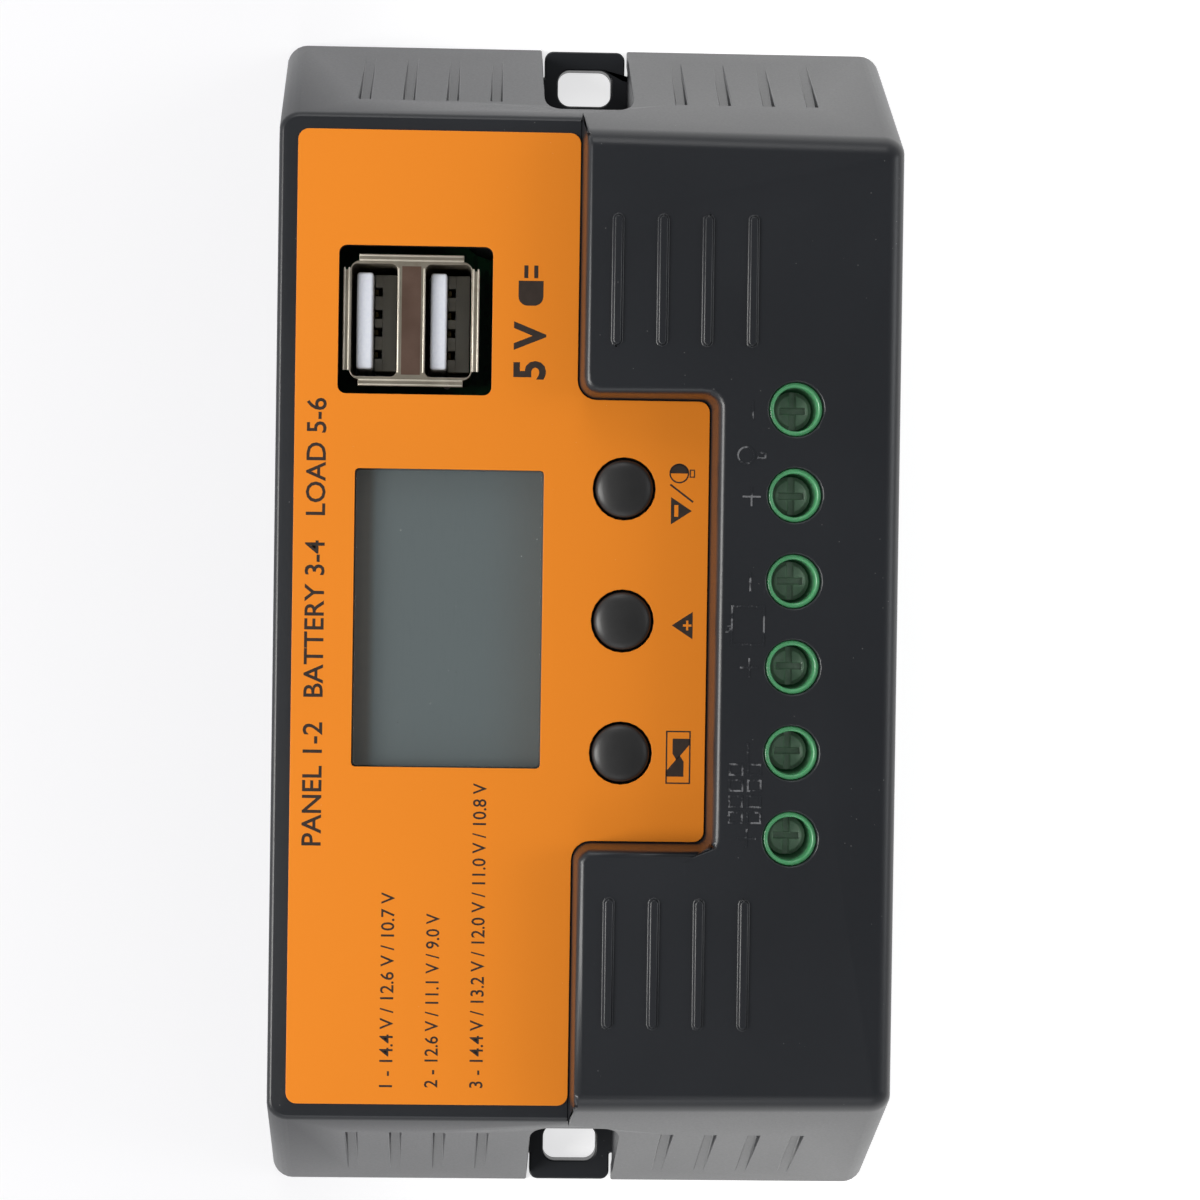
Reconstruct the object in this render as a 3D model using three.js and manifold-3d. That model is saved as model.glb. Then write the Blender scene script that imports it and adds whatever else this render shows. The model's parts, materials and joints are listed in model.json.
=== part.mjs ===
// Solar charge controller: a stepped moulded case over a base plate with two mounting ears, a front
// label with a display window, three buttons and two upright USB sockets, and a row of six rising-clamp
// wire terminals behind the raised deck.
// Units are millimetres. +X runs along the case, +Z comes out of its face and -Y is the terminal side.
// The origin is at the middle of the underside.
import * as THREE from "three";
import { mergeVertices } from "three/addons/utils/BufferGeometryUtils.js";
import Module from "manifold-3d";

const wasm = await Module();
wasm.setup();

// ---------------------------------------------------------------- driving dimensions
// Case
const CASE_LENGTH = 134;
const CASE_WIDTH = 70;
const CASE_HEIGHT = 35; // top of the raised deck along the terminal side
const WALL = 2;
const END_DRAFT = 0.405; // inward run of an end wall for each millimetre of height
const SIDE_DRAFT = 0.022;
const CORNER_RADIUS = 2.4;
const DECK_FALL = 0.04; // fall of the raised deck for each millimetre away from the terminal side
const DECK_EDGE_RADIUS = 1.8;
const LABEL_DECK_HEIGHT = 28;
const LABEL_EDGE_RADIUS = 0.9;
const LABEL_EDGE_SPREAD = 0.12; // widens the rounded block of the label deck past the walls below it
const LEAST_RADIUS = 0.4; // of an inner corner

// Step between the label deck and the raised deck, at its foot
const STEP_Y = 0.9;
const STEP_LEAN = 0.55;
const TAB_HALF_LENGTH = 24.6;
const TAB_DEPTH = 14.7; // from the step towards the terminal side
const TAB_CORNER_RADIUS = 1.2;
const STEP_CORNER_RADIUS = 2;

// Base plate, its ears and the notches they sit in
const PLATE_THICKNESS = 2.5;
const EAR_SETBACK = 0.5; // from the end of the case
const NOTCH_WIDTH = 10;
const NOTCH_DEPTH = 10;
const NOTCH_CORNER_RADIUS = 1.8;
const PLATE_CORNER_RADIUS = 1.5;
const EAR_CORNER_RADIUS = 1;
const SLOT_INSET = 4.8; // slot centre from the end of the case
const SLOT_LENGTH = 6.2;
const SLOT_WIDTH = 4.2;
const SLOT_CORNER_RADIUS = 1.4;

// Clearances
const FIT_GAP = 0.3; // between two mouldings, or a moulding and what it holds
const REST_GAP = 0.05; // under a piece that lies on another
const RUNNING_GAP = 0.15; // around a piece that turns or slides
const SURFACE_TOLERANCE = 0.003; // how far a cut surface may stray from the true one
const PAST = 1; // how far a cut starts outside what it cuts, and a joined piece starts inside

// Face label and display
const LABEL_THICKNESS = 0.25;
const LABEL_MARGIN = 0.15; // from the foot of the step
const LABEL_END_MARGIN = 1.75; // from the edge of the label deck at each end
const LABEL_SIDE_MARGIN = 2.1; // from the edge of the label deck at the long side
const LABEL_CORNER_RADIUS = 1.2;
const WINDOW_LENGTH = 33;
const WINDOW_WIDTH = 20.9;
const WINDOW_INSET = 19.9; // window centre from the long side
const WINDOW_CORNER_RADIUS = 0.4;
const LENS_THICKNESS = 1.2;
const GLASS_BORDER_X = 2;
const GLASS_BORDER_Y = 3;
const GLASS_THICKNESS = 2.6;
const BACKLIGHT_THICKNESS = 3.6;

// Buttons
const BUTTON_SPACING = 14.65;
const BUTTON_OFFSET = 5.17; // from the step towards the terminal side
const BUTTON_DIAMETER = 6.4;
const BUTTON_HOLE_GAP = 0.3;
const BUTTON_FLANGE_DIAMETER = 8.4;
const BUTTON_FLANGE_THICKNESS = 0.8;
const BUTTON_RISE = 0.75; // dome above the label
const BUTTON_TRAVEL = 0.5;
const BUTTON_STEM_STEP = 0.8; // the stem under the flange is this much thinner all round
const BUTTON_EDGE = [0.25, 0.7, 0.3, 0.08]; // crown profile: run, then the falls at rim, edge and dome
const SWITCH_SIDE = 6;
const SWITCH_HEIGHT = 3.6;
const SWITCH_FLOOR = 1;
const PLUNGER_DIAMETER = 3.4;
const PLUNGER_RISE = 1; // above the switch

// USB sockets
const USB_END_INSET = 34.05;
const USB_SIDE_INSET = 15.4;
const USB_OPENING_GAP_X = 1.65; // around the shell along the case
const USB_OPENING_GAP_Y = 1.7; // around the shell across the case
const USB_OPENING_OFFSET = -0.5;
const USB_OPENING_RADIUS = 0.9;
const USB_SHELL_LENGTH = 13.1;
const USB_SHELL_WIDTH = 13.6;
const USB_SHEET = 0.3;
const USB_PORT_SPACING = 8.2;
const USB_PORT_WIDTH = 5.1;
const USB_LIP = 0.75;
const USB_LIP_INSET = 1; // each lip stops short of the shell's corners
const USB_CORNER_RADIUS = 1.1;
const USB_PORT_RADIUS = 0.7;
const USB_TOP_DEPTH = 0.6; // shell mouth below the label deck
const TONGUE_LENGTH = 10.7;
const TONGUE_THICKNESS = 1.8;
const TONGUE_OFFSET = 1.05; // from the middle of its port, away from the terminals
const TONGUE_DEPTH = 1.2; // tip below the shell mouth
const TONGUE_BASE_HEIGHT = 3;

// Boards
const BOARD_THICKNESS = 1.6;
const BOARD_TOP = 10;
const BOARD_END_INSET = 15;
const BOARD_SIDE_INSET = 4;
const BOARD_SCREW_END_INSET = 21;
const BOARD_SCREW_SIDE_INSET = 7;
const DISPLAY_BOARD_MARGIN_X = 3.5; // beyond the display glass
const DISPLAY_BOARD_MARGIN_Y = 1.2; // beyond the switches and the glass
const STANDOFF_DIAMETER = 6;
const BOARD_CORNER_RADIUS = 1.5;
const DISPLAY_BOARD_CORNER_RADIUS = 1;
const HEADER_PITCH = 2.54;
const HEADER_PINS = 8;
const HEADER_PIN_SIDE = 0.64;
const HEADER_INSET = 3; // from the edge of the display board

// Case screws and the cover posts that they run into
const CASE_SCREW_END_INSET = 10;
const CASE_SCREW_SIDE_INSET = 7.5;
const POST_DIAMETER = 7;
const SCREW_SHANK_DIAMETER = 2.6;
const SCREW_HEAD_DIAMETER = 5;
const SCREW_HEAD_THICKNESS = 1.3;
const CASE_SCREW_LENGTH = 10;
const SCREW_TIP = [0.4, 0.6]; // taper at the tip: run and length
const SCREW_CROWN = [0.7, 0.5]; // flat share of the head, and the fall of its edge
const CROSS_LENGTH = 2.6;
const CROSS_WIDTH = 0.6;
const CROSS_DEPTH = 0.7;

// Wire terminals
const POLES = 6;
const POLE_PITCH = 9.4;
const POLE_INSET = 12.3; // screw axis from the terminal side
const POLE_HOLE_DIAMETER = 6;
const BLOCK_END_WALL = 0.5;
const BLOCK_INSET = 0.8; // from the inside of the terminal wall
const BLOCK_DEPTH = 15.4;
const BLOCK_SHOULDER_DEPTH = 3;
const BLOCK_SHOULDER_DROP = 5.3;
const BLOCK_FLOOR = 2;
const BLOCK_HEADROOM = 0.45; // under the raised deck
const BLOCK_BACK_WALL = 1.5;
const WELL_DIAMETER = 4.8;
const CLAMP_TRAVEL = 3;
const WIRE_GAP = 4.5; // between the open clamp's floor and the contact bar
const CAGE_INNER_WIDTH = 5;
const CAGE_WALL = 0.9;
const CAGE_HEAD = 1.6; // threaded top wall of a clamp
const CAGE_LENGTH = 6.2;
const CAGE_HEADROOM = 1.1; // between the contact bar and the head of an open clamp
const BAR_THICKNESS = 1.2;
const BAR_WIDTH = 4.2;
const BAR_LEG = 0.8;
const BAR_OVERHANG = 1; // beyond the clamp, and below the main board
const TERMINAL_SCREW_DIAMETER = 3;
const TERMINAL_HEAD_DIAMETER = 4.3;
const TERMINAL_HEAD_HEIGHT = 2.8;
const TERMINAL_EDGE = 0.4; // bevel of the head and of the tip
const DRIVER_SLOT_WIDTH = 0.7;
const DRIVER_SLOT_DEPTH = 0.9;
const DRIVER_CROSS_LENGTH = 2.8;
const DRIVER_CROSS_DEPTH = 1.3;
const BLOCK_SHOULDER = 1.4; // wall that a screw head stands on
const WIRE_WINDOW_MARGIN = 0.4;

// Mouldings on the case
const END_GROOVES = 4;
const GROOVE_PITCH = 4.93;
const FIRST_GROOVE_Y = 10.4;
const GROOVE_WIDTH = 1.2;
const GROOVE_DEPTH = 0.75;
const GROOVE_LOW_Z = 4.5;
const GROOVE_HIGH_Z = 22;
const GROOVE_SINK_DEPTH = 1.25; // the round sink at the top of each groove
const DECK_RIBS = 4;
const DECK_RIB_LENGTH = 14.2;
const DECK_RIB_WIDTH = 0.95;
const DECK_RIB_HEIGHT = 0.45;
const DECK_RIB_END_INSET = 29.6;
const FIRST_DECK_RIB_Y = -3;

// Power parts on the main board
const HEAT_BAR_END_INSET = 15.5;
const HEAT_BAR_SIZE = [16, 41, 3];
const TRANSISTORS = 4;
const TRANSISTOR_PITCH = 10.2;
const TRANSISTOR_BODY = [9, 9.7, 4.4];
const TRANSISTOR_TAB = [6, 9.7, 1.3];
const LEAD_PITCH = 2.54;
const LEAD_WIDTH = 0.8;
const LEAD_THICKNESS = 0.6;
const LEAD_REACH = 2; // past the transistor's body
const LEAD_HEIGHT = 1.6; // above the heat bar
const CHANNEL_WIDTH = 1;
const CHANNEL_DEPTH = 1;
const CAPACITOR_DIAMETER = 10;
const CAPACITOR_HEADROOM = 1.4;
const CAPACITOR_END_INSET = 21;
const CAPACITOR_YS = [10, -3];
const CAPACITOR_EDGE = 0.6;
const CAPACITOR_CRIMP = [0.3, 1.6]; // groove round the foot: depth and height
const CHOKE_DIAMETER = 12;
const CHOKE_GAP = 4.3; // from the end of the terminal block
const CHOKE_Y = -16;
const CHOKE_FLANGE = 1.2;
const CHOKE_WINDING_DEPTH = 0.8;
const CHOKE_HEIGHT = 8;
const CHIP_SIDE = 10;
const CHIP_THICKNESS = 1.4;
const CHIP_Y = 11;

// ---------------------------------------------------------------- worked-out places
const halfLength = CASE_LENGTH / 2;
const halfWidth = CASE_WIDTH / 2;
// Height of the raised deck at a place across the case.
const deckHeight = (y) => CASE_HEIGHT - DECK_FALL * (y + halfWidth);
// Where the end walls and the side walls stand at a height.
const endWallAt = (z) => halfLength - END_DRAFT * z;
const sideWallAt = (z) => halfWidth - SIDE_DRAFT * z;

const tabY = STEP_Y - TAB_DEPTH;
const notchBack = halfLength - NOTCH_DEPTH;
const earReach = halfLength - EAR_SETBACK;
const slotX = halfLength - SLOT_INSET;
const caseScrew = [halfLength - CASE_SCREW_END_INSET, halfWidth - CASE_SCREW_SIDE_INSET];
const boardScrew = [halfLength - BOARD_SCREW_END_INSET, halfWidth - BOARD_SCREW_SIDE_INSET];
const windowY = halfWidth - WINDOW_INSET;
const buttonY = STEP_Y - BUTTON_OFFSET;
const usbX = halfLength - USB_END_INSET;
const usbY = halfWidth - USB_SIDE_INSET;
const poleY = POLE_INSET - halfWidth;
const blockFront = WALL + BLOCK_INSET - halfWidth;
const blockBack = blockFront + BLOCK_DEPTH;
const labelTop = LABEL_DECK_HEIGHT + REST_GAP + LABEL_THICKNESS;
const labelCeiling = LABEL_DECK_HEIGHT - WALL;
const boardUnder = BOARD_TOP - BOARD_THICKNESS;
const onBoard = BOARD_TOP + REST_GAP;
const glassTop = labelCeiling - FIT_GAP;
const glassUnder = glassTop - GLASS_THICKNESS;
const backlightUnder = glassUnder - REST_GAP - BACKLIGHT_THICKNESS;
const displayBoardTop = backlightUnder - REST_GAP;
const displayBoardUnder = displayBoardTop - BOARD_THICKNESS;
const usbTop = LABEL_DECK_HEIGHT - USB_TOP_DEPTH;
const blockUnder = onBoard;
const blockTop = deckHeight(blockBack) - WALL - BLOCK_HEADROOM;
const pocketFloor = blockUnder + BLOCK_FLOOR;
const cageUnder = pocketFloor + FIT_GAP;
const barUnder = cageUnder + CAGE_WALL + WIRE_GAP;
const barTop = barUnder + BAR_THICKNESS;
const cageInnerTop = barTop + CAGE_HEADROOM;
const cageTop = cageInnerTop + CAGE_HEAD;
const pocketTop = cageTop + CLAMP_TRAVEL + FIT_GAP;
const headUnder = pocketTop + BLOCK_SHOULDER + RUNNING_GAP;
const cageWidth = CAGE_INNER_WIDTH + 2 * CAGE_WALL;
const pocketWidth = cageWidth + 2 * FIT_GAP;
const poleXs = Array.from({ length: POLES }, (_, i) => (i - (POLES - 1) / 2) * POLE_PITCH);
const blockLength = POLES * POLE_PITCH + 2 * BLOCK_END_WALL;
const buttonXs = [BUTTON_SPACING, 0, -BUTTON_SPACING];
const corners = [[1, 1], [-1, 1], [-1, -1], [1, -1]];

// ---------------------------------------------------------------- solids
// A geometry as a solid that can be joined and cut.
function solid(geometry) {
  const bare = geometry.clone();
  bare.deleteAttribute("normal");
  bare.deleteAttribute("uv");
  const merged = mergeVertices(bare, 1e-4);
  return new wasm.Manifold(
    new wasm.Mesh({
      numProp: 3,
      vertProperties: new Float32Array(merged.attributes.position.array),
      triVerts: new Uint32Array(merged.index.array),
      tolerance: SURFACE_TOLERANCE,
    }),
  );
}

// A solid's surface as a geometry.
function geometryOf(made) {
  const mesh = made.getMesh();
  const geometry = new THREE.BufferGeometry();
  geometry.setAttribute("position", new THREE.BufferAttribute(mesh.vertProperties, 3));
  geometry.setIndex(new THREE.BufferAttribute(mesh.triVerts, 1));
  geometry.computeVertexNormals();
  return geometry;
}

const join = (...parts) => parts.reduce((all, part) => all.add(part));
const cut = (body, ...tools) => tools.reduce((left, tool) => left.subtract(tool), body);

// A closed outline with rounded corners, each given as [x, y, radius].
function roundedShape(points) {
  const shape = new THREE.Shape();
  points.forEach(([x, y, radius], i) => {
    const corner = new THREE.Vector2(x, y);
    const before = new THREE.Vector2(...points.at(i - 1)).sub(corner).normalize();
    const after = new THREE.Vector2(...points[(i + 1) % points.length]).sub(corner).normalize();
    if (!radius) {
      if (i) shape.lineTo(x, y);
      else shape.moveTo(x, y);
      return;
    }
    const half = before.angleTo(after) / 2;
    const run = radius / Math.tan(half);
    const start = corner.clone().addScaledVector(before, run);
    const end = corner.clone().addScaledVector(after, run);
    const middle = before.clone().add(after).normalize();
    const centre = corner.clone().addScaledVector(middle, radius / Math.sin(half));
    const from = start.clone().sub(centre).angle();
    const to = end.clone().sub(centre).angle();
    if (!i) shape.moveTo(start.x, start.y);
    shape.absarc(centre.x, centre.y, radius, from, to, before.cross(after) > 0);
  });
  return shape;
}

function roundedRectangle(length, width, radius, x = 0, y = 0) {
  return roundedShape(
    corners.map(([sx, sy]) => [x + (sx * length) / 2, y + (sy * width) / 2, radius]),
  );
}

function roundOutline(x, y, diameter) {
  const outline = new THREE.Path();
  outline.absarc(x, y, diameter / 2, 0, 2 * Math.PI, false);
  return outline;
}

// A flat outline made a plate from one height to another.
function plate(shape, low, high, curveSegments = 3) {
  const geometry = new THREE.ExtrudeGeometry(shape, {
    depth: high - low,
    bevelEnabled: false,
    curveSegments,
  });
  return solid(geometry.translate(0, 0, low));
}

// A box by its lowest and highest corners.
function box([x0, y0, z0], [x1, y1, z1]) {
  const geometry = new THREE.BoxGeometry(x1 - x0, y1 - y0, z1 - z0);
  return solid(geometry.translate((x0 + x1) / 2, (y0 + y1) / 2, (z0 + z1) / 2));
}

// An upright round bar.
function rod(diameter, low, high, x = 0, y = 0, sides = 24) {
  const geometry = new THREE.CylinderGeometry(diameter / 2, diameter / 2, high - low, sides);
  return solid(geometry.rotateX(Math.PI / 2).translate(x, y, (low + high) / 2));
}

// A turned piece about the Z axis, from a closed profile of [radius, height] points.
function turned(profile, x, y, segments = 24) {
  const points = profile.map(([radius, height]) => new THREE.Vector2(radius, height));
  const geometry = new THREE.LatheGeometry(points, segments);
  return solid(geometry.rotateX(Math.PI / 2).translate(x, y, 0));
}

// A rounded block whose walls lean in as they rise, whose top edge is round, and whose top may fall
// away from the terminal side. It runs down past the underside, where it is trimmed off.
function leaningBlock(inset, height, edgeRadius, falls) {
  const below = 3;
  const across = 2 * (halfWidth - inset - edgeRadius);
  const along = 2 * (halfLength - inset - edgeRadius);
  const radius = Math.max(CORNER_RADIUS - inset - edgeRadius, LEAST_RADIUS);
  const geometry = new THREE.ExtrudeGeometry(roundedRectangle(along, across, radius), {
    depth: below + height - edgeRadius,
    bevelThickness: edgeRadius,
    bevelSize: edgeRadius,
    bevelSegments: 4,
    curveSegments: 3,
  });
  geometry.translate(0, 0, -below);
  const place = geometry.attributes.position;
  for (let i = 0; i < place.count; i += 1) {
    const y = place.getY(i);
    const z = falls ? (place.getZ(i) * (deckHeight(y) - CASE_HEIGHT + height)) / height : place.getZ(i);
    const x = place.getX(i) * (1 - (END_DRAFT * z) / halfLength);
    place.setXYZ(i, x, y * (1 - (SIDE_DRAFT * z) / halfWidth), z);
  }
  const ground = box([-CASE_LENGTH, -CASE_WIDTH, -2 * below], [CASE_LENGTH, CASE_WIDTH, 0]);
  return cut(solid(geometry), ground);
}

// The area of the label deck: everything beyond the step, with the tab that holds the buttons. It can
// be grown into the raised deck, and its walls lean outwards as they rise.
function labelZone(grow, low, lean) {
  const beyond = CASE_LENGTH;
  const high = 2 * CASE_HEIGHT;
  const rise = CASE_HEIGHT - LABEL_DECK_HEIGHT;
  const tab = TAB_HALF_LENGTH + grow;
  const step = STEP_Y - grow;
  const inner = Math.max(STEP_CORNER_RADIUS - grow, LEAST_RADIUS);
  const shape = roundedShape([
    [beyond, CASE_WIDTH, 0],
    [-beyond, CASE_WIDTH, 0],
    [-beyond, step, 0],
    [-tab, step, inner],
    [-tab, tabY - grow, TAB_CORNER_RADIUS + grow],
    [tab, tabY - grow, TAB_CORNER_RADIUS + grow],
    [tab, step, inner],
    [beyond, step, 0],
  ]);
  const geometry = new THREE.ExtrudeGeometry(shape, {
    depth: high - low,
    bevelEnabled: lean > 0,
    bevelThickness: rise,
    bevelSize: lean,
    bevelSegments: 1,
    curveSegments: 3,
  });
  return solid(geometry.translate(0, 0, low + (lean > 0 ? rise : 0)));
}

// ---------------------------------------------------------------- case
function notchPocket(side, grow, low) {
  const back = notchBack - grow;
  const reach = CASE_LENGTH;
  const shape = roundedShape([
    [side * back, -side * (NOTCH_WIDTH / 2 + grow), NOTCH_CORNER_RADIUS],
    [side * reach, -side * (NOTCH_WIDTH / 2 + grow), 0],
    [side * reach, side * (NOTCH_WIDTH / 2 + grow), 0],
    [side * back, side * (NOTCH_WIDTH / 2 + grow), NOTCH_CORNER_RADIUS],
  ]);
  return plate(shape, low, 2 * CASE_HEIGHT);
}

// A shallow groove in an end wall, which deepens towards the face and ends in a blunt step.
function endGroove(side, y) {
  const drop = GROOVE_HIGH_Z - GROOVE_LOW_Z;
  const wallAngle = Math.atan(END_DRAFT);
  const run = drop / Math.cos(wallAngle);
  const thick = 3;
  const geometry = new THREE.BoxGeometry(thick, GROOVE_WIDTH, run);
  geometry.translate(thick / 2, 0, run / 2);
  geometry.rotateY(-Math.atan(GROOVE_DEPTH / run));
  geometry.rotateY(-wallAngle);
  geometry.translate(endWallAt(GROOVE_LOW_Z), 0, GROOVE_LOW_Z);
  if (side < 0) geometry.rotateZ(Math.PI);
  return solid(geometry.translate(0, y, 0));
}

function grooveSink(side, y) {
  const radius = GROOVE_WIDTH / 2;
  const z = GROOVE_HIGH_Z - radius;
  const geometry = new THREE.CylinderGeometry(radius, radius, 2 * GROOVE_SINK_DEPTH, 12);
  return solid(geometry.rotateZ(Math.PI / 2).translate(side * endWallAt(z), y, z));
}

function deckRib(x, y) {
  const shape = roundedRectangle(DECK_RIB_LENGTH, DECK_RIB_WIDTH, DECK_RIB_WIDTH * 0.45, x, y);
  const geometry = new THREE.ExtrudeGeometry(shape, {
    depth: WALL / 2 + DECK_RIB_HEIGHT,
    bevelEnabled: false,
    curveSegments: 1,
  });
  const place = geometry.attributes.position;
  for (let i = 0; i < place.count; i += 1) {
    place.setZ(i, place.getZ(i) - WALL / 2 + deckHeight(place.getY(i)));
  }
  return solid(geometry);
}

function caseOpenings() {
  const low = labelCeiling - WALL;
  const high = 2 * CASE_HEIGHT;
  const buttonHole = BUTTON_DIAMETER + 2 * BUTTON_HOLE_GAP;
  const windowFloor = pocketFloor - WIRE_WINDOW_MARGIN;
  const windowHalf = poleXs.at(-1) + pocketWidth / 2 + WIRE_WINDOW_MARGIN;
  return [
    plate(
      roundedRectangle(WINDOW_LENGTH, WINDOW_WIDTH, WINDOW_CORNER_RADIUS, 0, windowY),
      low,
      high,
      1,
    ),
    plate(
      roundedRectangle(
        USB_SHELL_LENGTH + 2 * USB_OPENING_GAP_X,
        USB_SHELL_WIDTH + 2 * USB_OPENING_GAP_Y,
        USB_OPENING_RADIUS,
        usbX,
        usbY + USB_OPENING_OFFSET,
      ),
      low,
      high,
    ),
    ...buttonXs.map((x) => rod(buttonHole, low, high, x, buttonY)),
    ...poleXs.map((x) => rod(POLE_HOLE_DIAMETER, labelCeiling, high, x, poleY)),
    box([-windowHalf, -CASE_WIDTH, windowFloor], [windowHalf, blockFront + FIT_GAP, pocketTop]),
  ];
}

function topCover() {
  const outside = leaningBlock(0, CASE_HEIGHT, DECK_EDGE_RADIUS, true);
  const lowBlock = leaningBlock(
    -LABEL_EDGE_SPREAD,
    LABEL_DECK_HEIGHT + REST_GAP,
    LABEL_EDGE_RADIUS,
    false,
  );
  const aboveLabel = cut(labelZone(0, labelCeiling, 0), lowBlock);
  const body = cut(outside, labelZone(0, LABEL_DECK_HEIGHT, STEP_LEAN), aboveLabel);
  const postLow = PLATE_THICKNESS + FIT_GAP;
  const posts = corners.map(([sx, sy]) =>
    rod(POST_DIAMETER, postLow, CASE_HEIGHT, sx * caseScrew[0], sy * caseScrew[1]),
  );
  const pilots = corners.map(([sx, sy]) => {
    const diameter = SCREW_SHANK_DIAMETER + 2 * RUNNING_GAP;
    return rod(diameter, 0, CASE_SCREW_LENGTH + 2 * PAST, sx * caseScrew[0], sy * caseScrew[1], 16);
  });
  const hollow = cut(
    leaningBlock(WALL, CASE_HEIGHT - WALL, LEAST_RADIUS, true),
    labelZone(WALL, labelCeiling, 0),
    notchPocket(1, WALL, postLow),
    notchPocket(-1, WALL, postLow),
    ...posts,
  );
  const grooves = [1, -1].flatMap((end) =>
    [1, -1].flatMap((half) =>
      Array.from({ length: END_GROOVES }, (_, i) => {
        const y = half * (FIRST_GROOVE_Y + i * GROOVE_PITCH);
        return [endGroove(end, y), grooveSink(end, y)];
      }).flat(),
    ),
  );
  const ribs = [1, -1].flatMap((end) =>
    Array.from({ length: DECK_RIBS }, (_, i) =>
      deckRib(end * (halfLength - DECK_RIB_END_INSET), FIRST_DECK_RIB_Y - i * GROOVE_PITCH),
    ),
  );
  const notches = [1, -1].map((side) => notchPocket(side, 0, -PAST));
  const shell = cut(body, hollow, ...notches, ...pilots);
  return cut(join(shell, ...ribs), ...grooves, ...caseOpenings());
}

function basePlate() {
  const length = endWallAt(PLATE_THICKNESS) - WALL - 2 * FIT_GAP;
  const width = sideWallAt(PLATE_THICKNESS) - WALL - FIT_GAP;
  const ear = NOTCH_WIDTH / 2 - FIT_GAP;
  const end = (side) => [
    [side * length, side * -width, PLATE_CORNER_RADIUS],
    [side * length, side * -ear, 0],
    [side * earReach, side * -ear, EAR_CORNER_RADIUS],
    [side * earReach, side * ear, EAR_CORNER_RADIUS],
    [side * length, side * ear, 0],
    [side * length, side * width, PLATE_CORNER_RADIUS],
  ];
  const outline = roundedShape([...end(1), ...end(-1)]);
  outline.holes.push(
    roundedRectangle(SLOT_WIDTH, SLOT_LENGTH, SLOT_CORNER_RADIUS, slotX),
    roundedRectangle(SLOT_WIDTH, SLOT_LENGTH, SLOT_CORNER_RADIUS, -slotX),
  );
  const caseHole = SCREW_SHANK_DIAMETER + 2 * FIT_GAP;
  corners.forEach(([sx, sy]) => {
    outline.holes.push(roundOutline(sx * caseScrew[0], sy * caseScrew[1], caseHole));
  });
  const headRoom = SCREW_HEAD_DIAMETER + 2 * FIT_GAP;
  const headDepth = SCREW_HEAD_THICKNESS + FIT_GAP;
  const headRooms = corners.map(([sx, sy]) =>
    rod(headRoom, -PAST, headDepth, sx * caseScrew[0], sy * caseScrew[1], 16),
  );
  const standoffs = corners.map(([sx, sy]) => {
    const [x, y] = [sx * boardScrew[0], sy * boardScrew[1]];
    return rod(STANDOFF_DIAMETER, PLATE_THICKNESS / 2, boardUnder - REST_GAP, x, y, 16);
  });
  const pilot = SCREW_SHANK_DIAMETER + 2 * RUNNING_GAP;
  const pilots = corners.map(([sx, sy]) =>
    rod(pilot, PLATE_THICKNESS, BOARD_TOP, sx * boardScrew[0], sy * boardScrew[1], 12),
  );
  return cut(join(plate(outline, 0, PLATE_THICKNESS, 4), ...standoffs), ...headRooms, ...pilots);
}

// A pan-head screw with a cross recess. Its head is at the low end when facing is -1.
function crossScrew(x, y, headFace, length, facing) {
  const headRadius = SCREW_HEAD_DIAMETER / 2;
  const top = headFace;
  const seat = headFace - facing * SCREW_HEAD_THICKNESS;
  const tip = seat - facing * length;
  const profile = [
    [0, tip],
    [SCREW_SHANK_DIAMETER / 2 - SCREW_TIP[0], tip],
    [SCREW_SHANK_DIAMETER / 2, tip + facing * SCREW_TIP[1]],
    [SCREW_SHANK_DIAMETER / 2, seat],
    [headRadius, seat],
    [headRadius, top - facing * SCREW_CROWN[1]],
    [headRadius * SCREW_CROWN[0], top],
    [0, top],
  ];
  const body = turned(facing > 0 ? profile : profile.toReversed(), x, y, 14);
  const recess = [top - facing * CROSS_DEPTH, top + facing * PAST].sort((a, b) => a - b);
  const bar = [CROSS_LENGTH / 2, CROSS_WIDTH / 2];
  const bars = [bar, bar.toReversed()].map(([along, across]) =>
    box([x - along, y - across, recess[0]], [x + along, y + across, recess[1]]),
  );
  return cut(body, ...bars);
}

// ---------------------------------------------------------------- label and display
function labelOutline() {
  const end = endWallAt(LABEL_DECK_HEIGHT) - LABEL_END_MARGIN;
  const side = sideWallAt(LABEL_DECK_HEIGHT) - LABEL_SIDE_MARGIN;
  const step = STEP_Y + LABEL_MARGIN;
  const tab = TAB_HALF_LENGTH - LABEL_MARGIN;
  const bay = tabY + LABEL_MARGIN;
  return roundedShape([
    [end, side, LABEL_CORNER_RADIUS],
    [-end, side, LABEL_CORNER_RADIUS],
    [-end, step, LABEL_CORNER_RADIUS],
    [-tab, step, STEP_CORNER_RADIUS + LABEL_MARGIN],
    [-tab, bay, TAB_CORNER_RADIUS],
    [tab, bay, TAB_CORNER_RADIUS],
    [tab, step, STEP_CORNER_RADIUS + LABEL_MARGIN],
    [end, step, LABEL_CORNER_RADIUS],
  ]);
}

function faceLabel() {
  const sheet = plate(labelOutline(), LABEL_DECK_HEIGHT + REST_GAP, labelTop);
  return cut(sheet, ...caseOpenings().slice(0, 2 + buttonXs.length));
}

function displayWindow() {
  const length = WINDOW_LENGTH - FIT_GAP;
  const width = WINDOW_WIDTH - FIT_GAP;
  const top = labelTop - REST_GAP;
  const outline = roundedRectangle(length, width, WINDOW_CORNER_RADIUS - REST_GAP, 0, windowY);
  return plate(outline, top - LENS_THICKNESS, top, 1);
}

function displayLayer(low, high) {
  const x = WINDOW_LENGTH / 2 + GLASS_BORDER_X;
  const y = WINDOW_WIDTH / 2 + GLASS_BORDER_Y;
  return box([-x, windowY - y, low], [x, windowY + y, high]);
}

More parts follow.
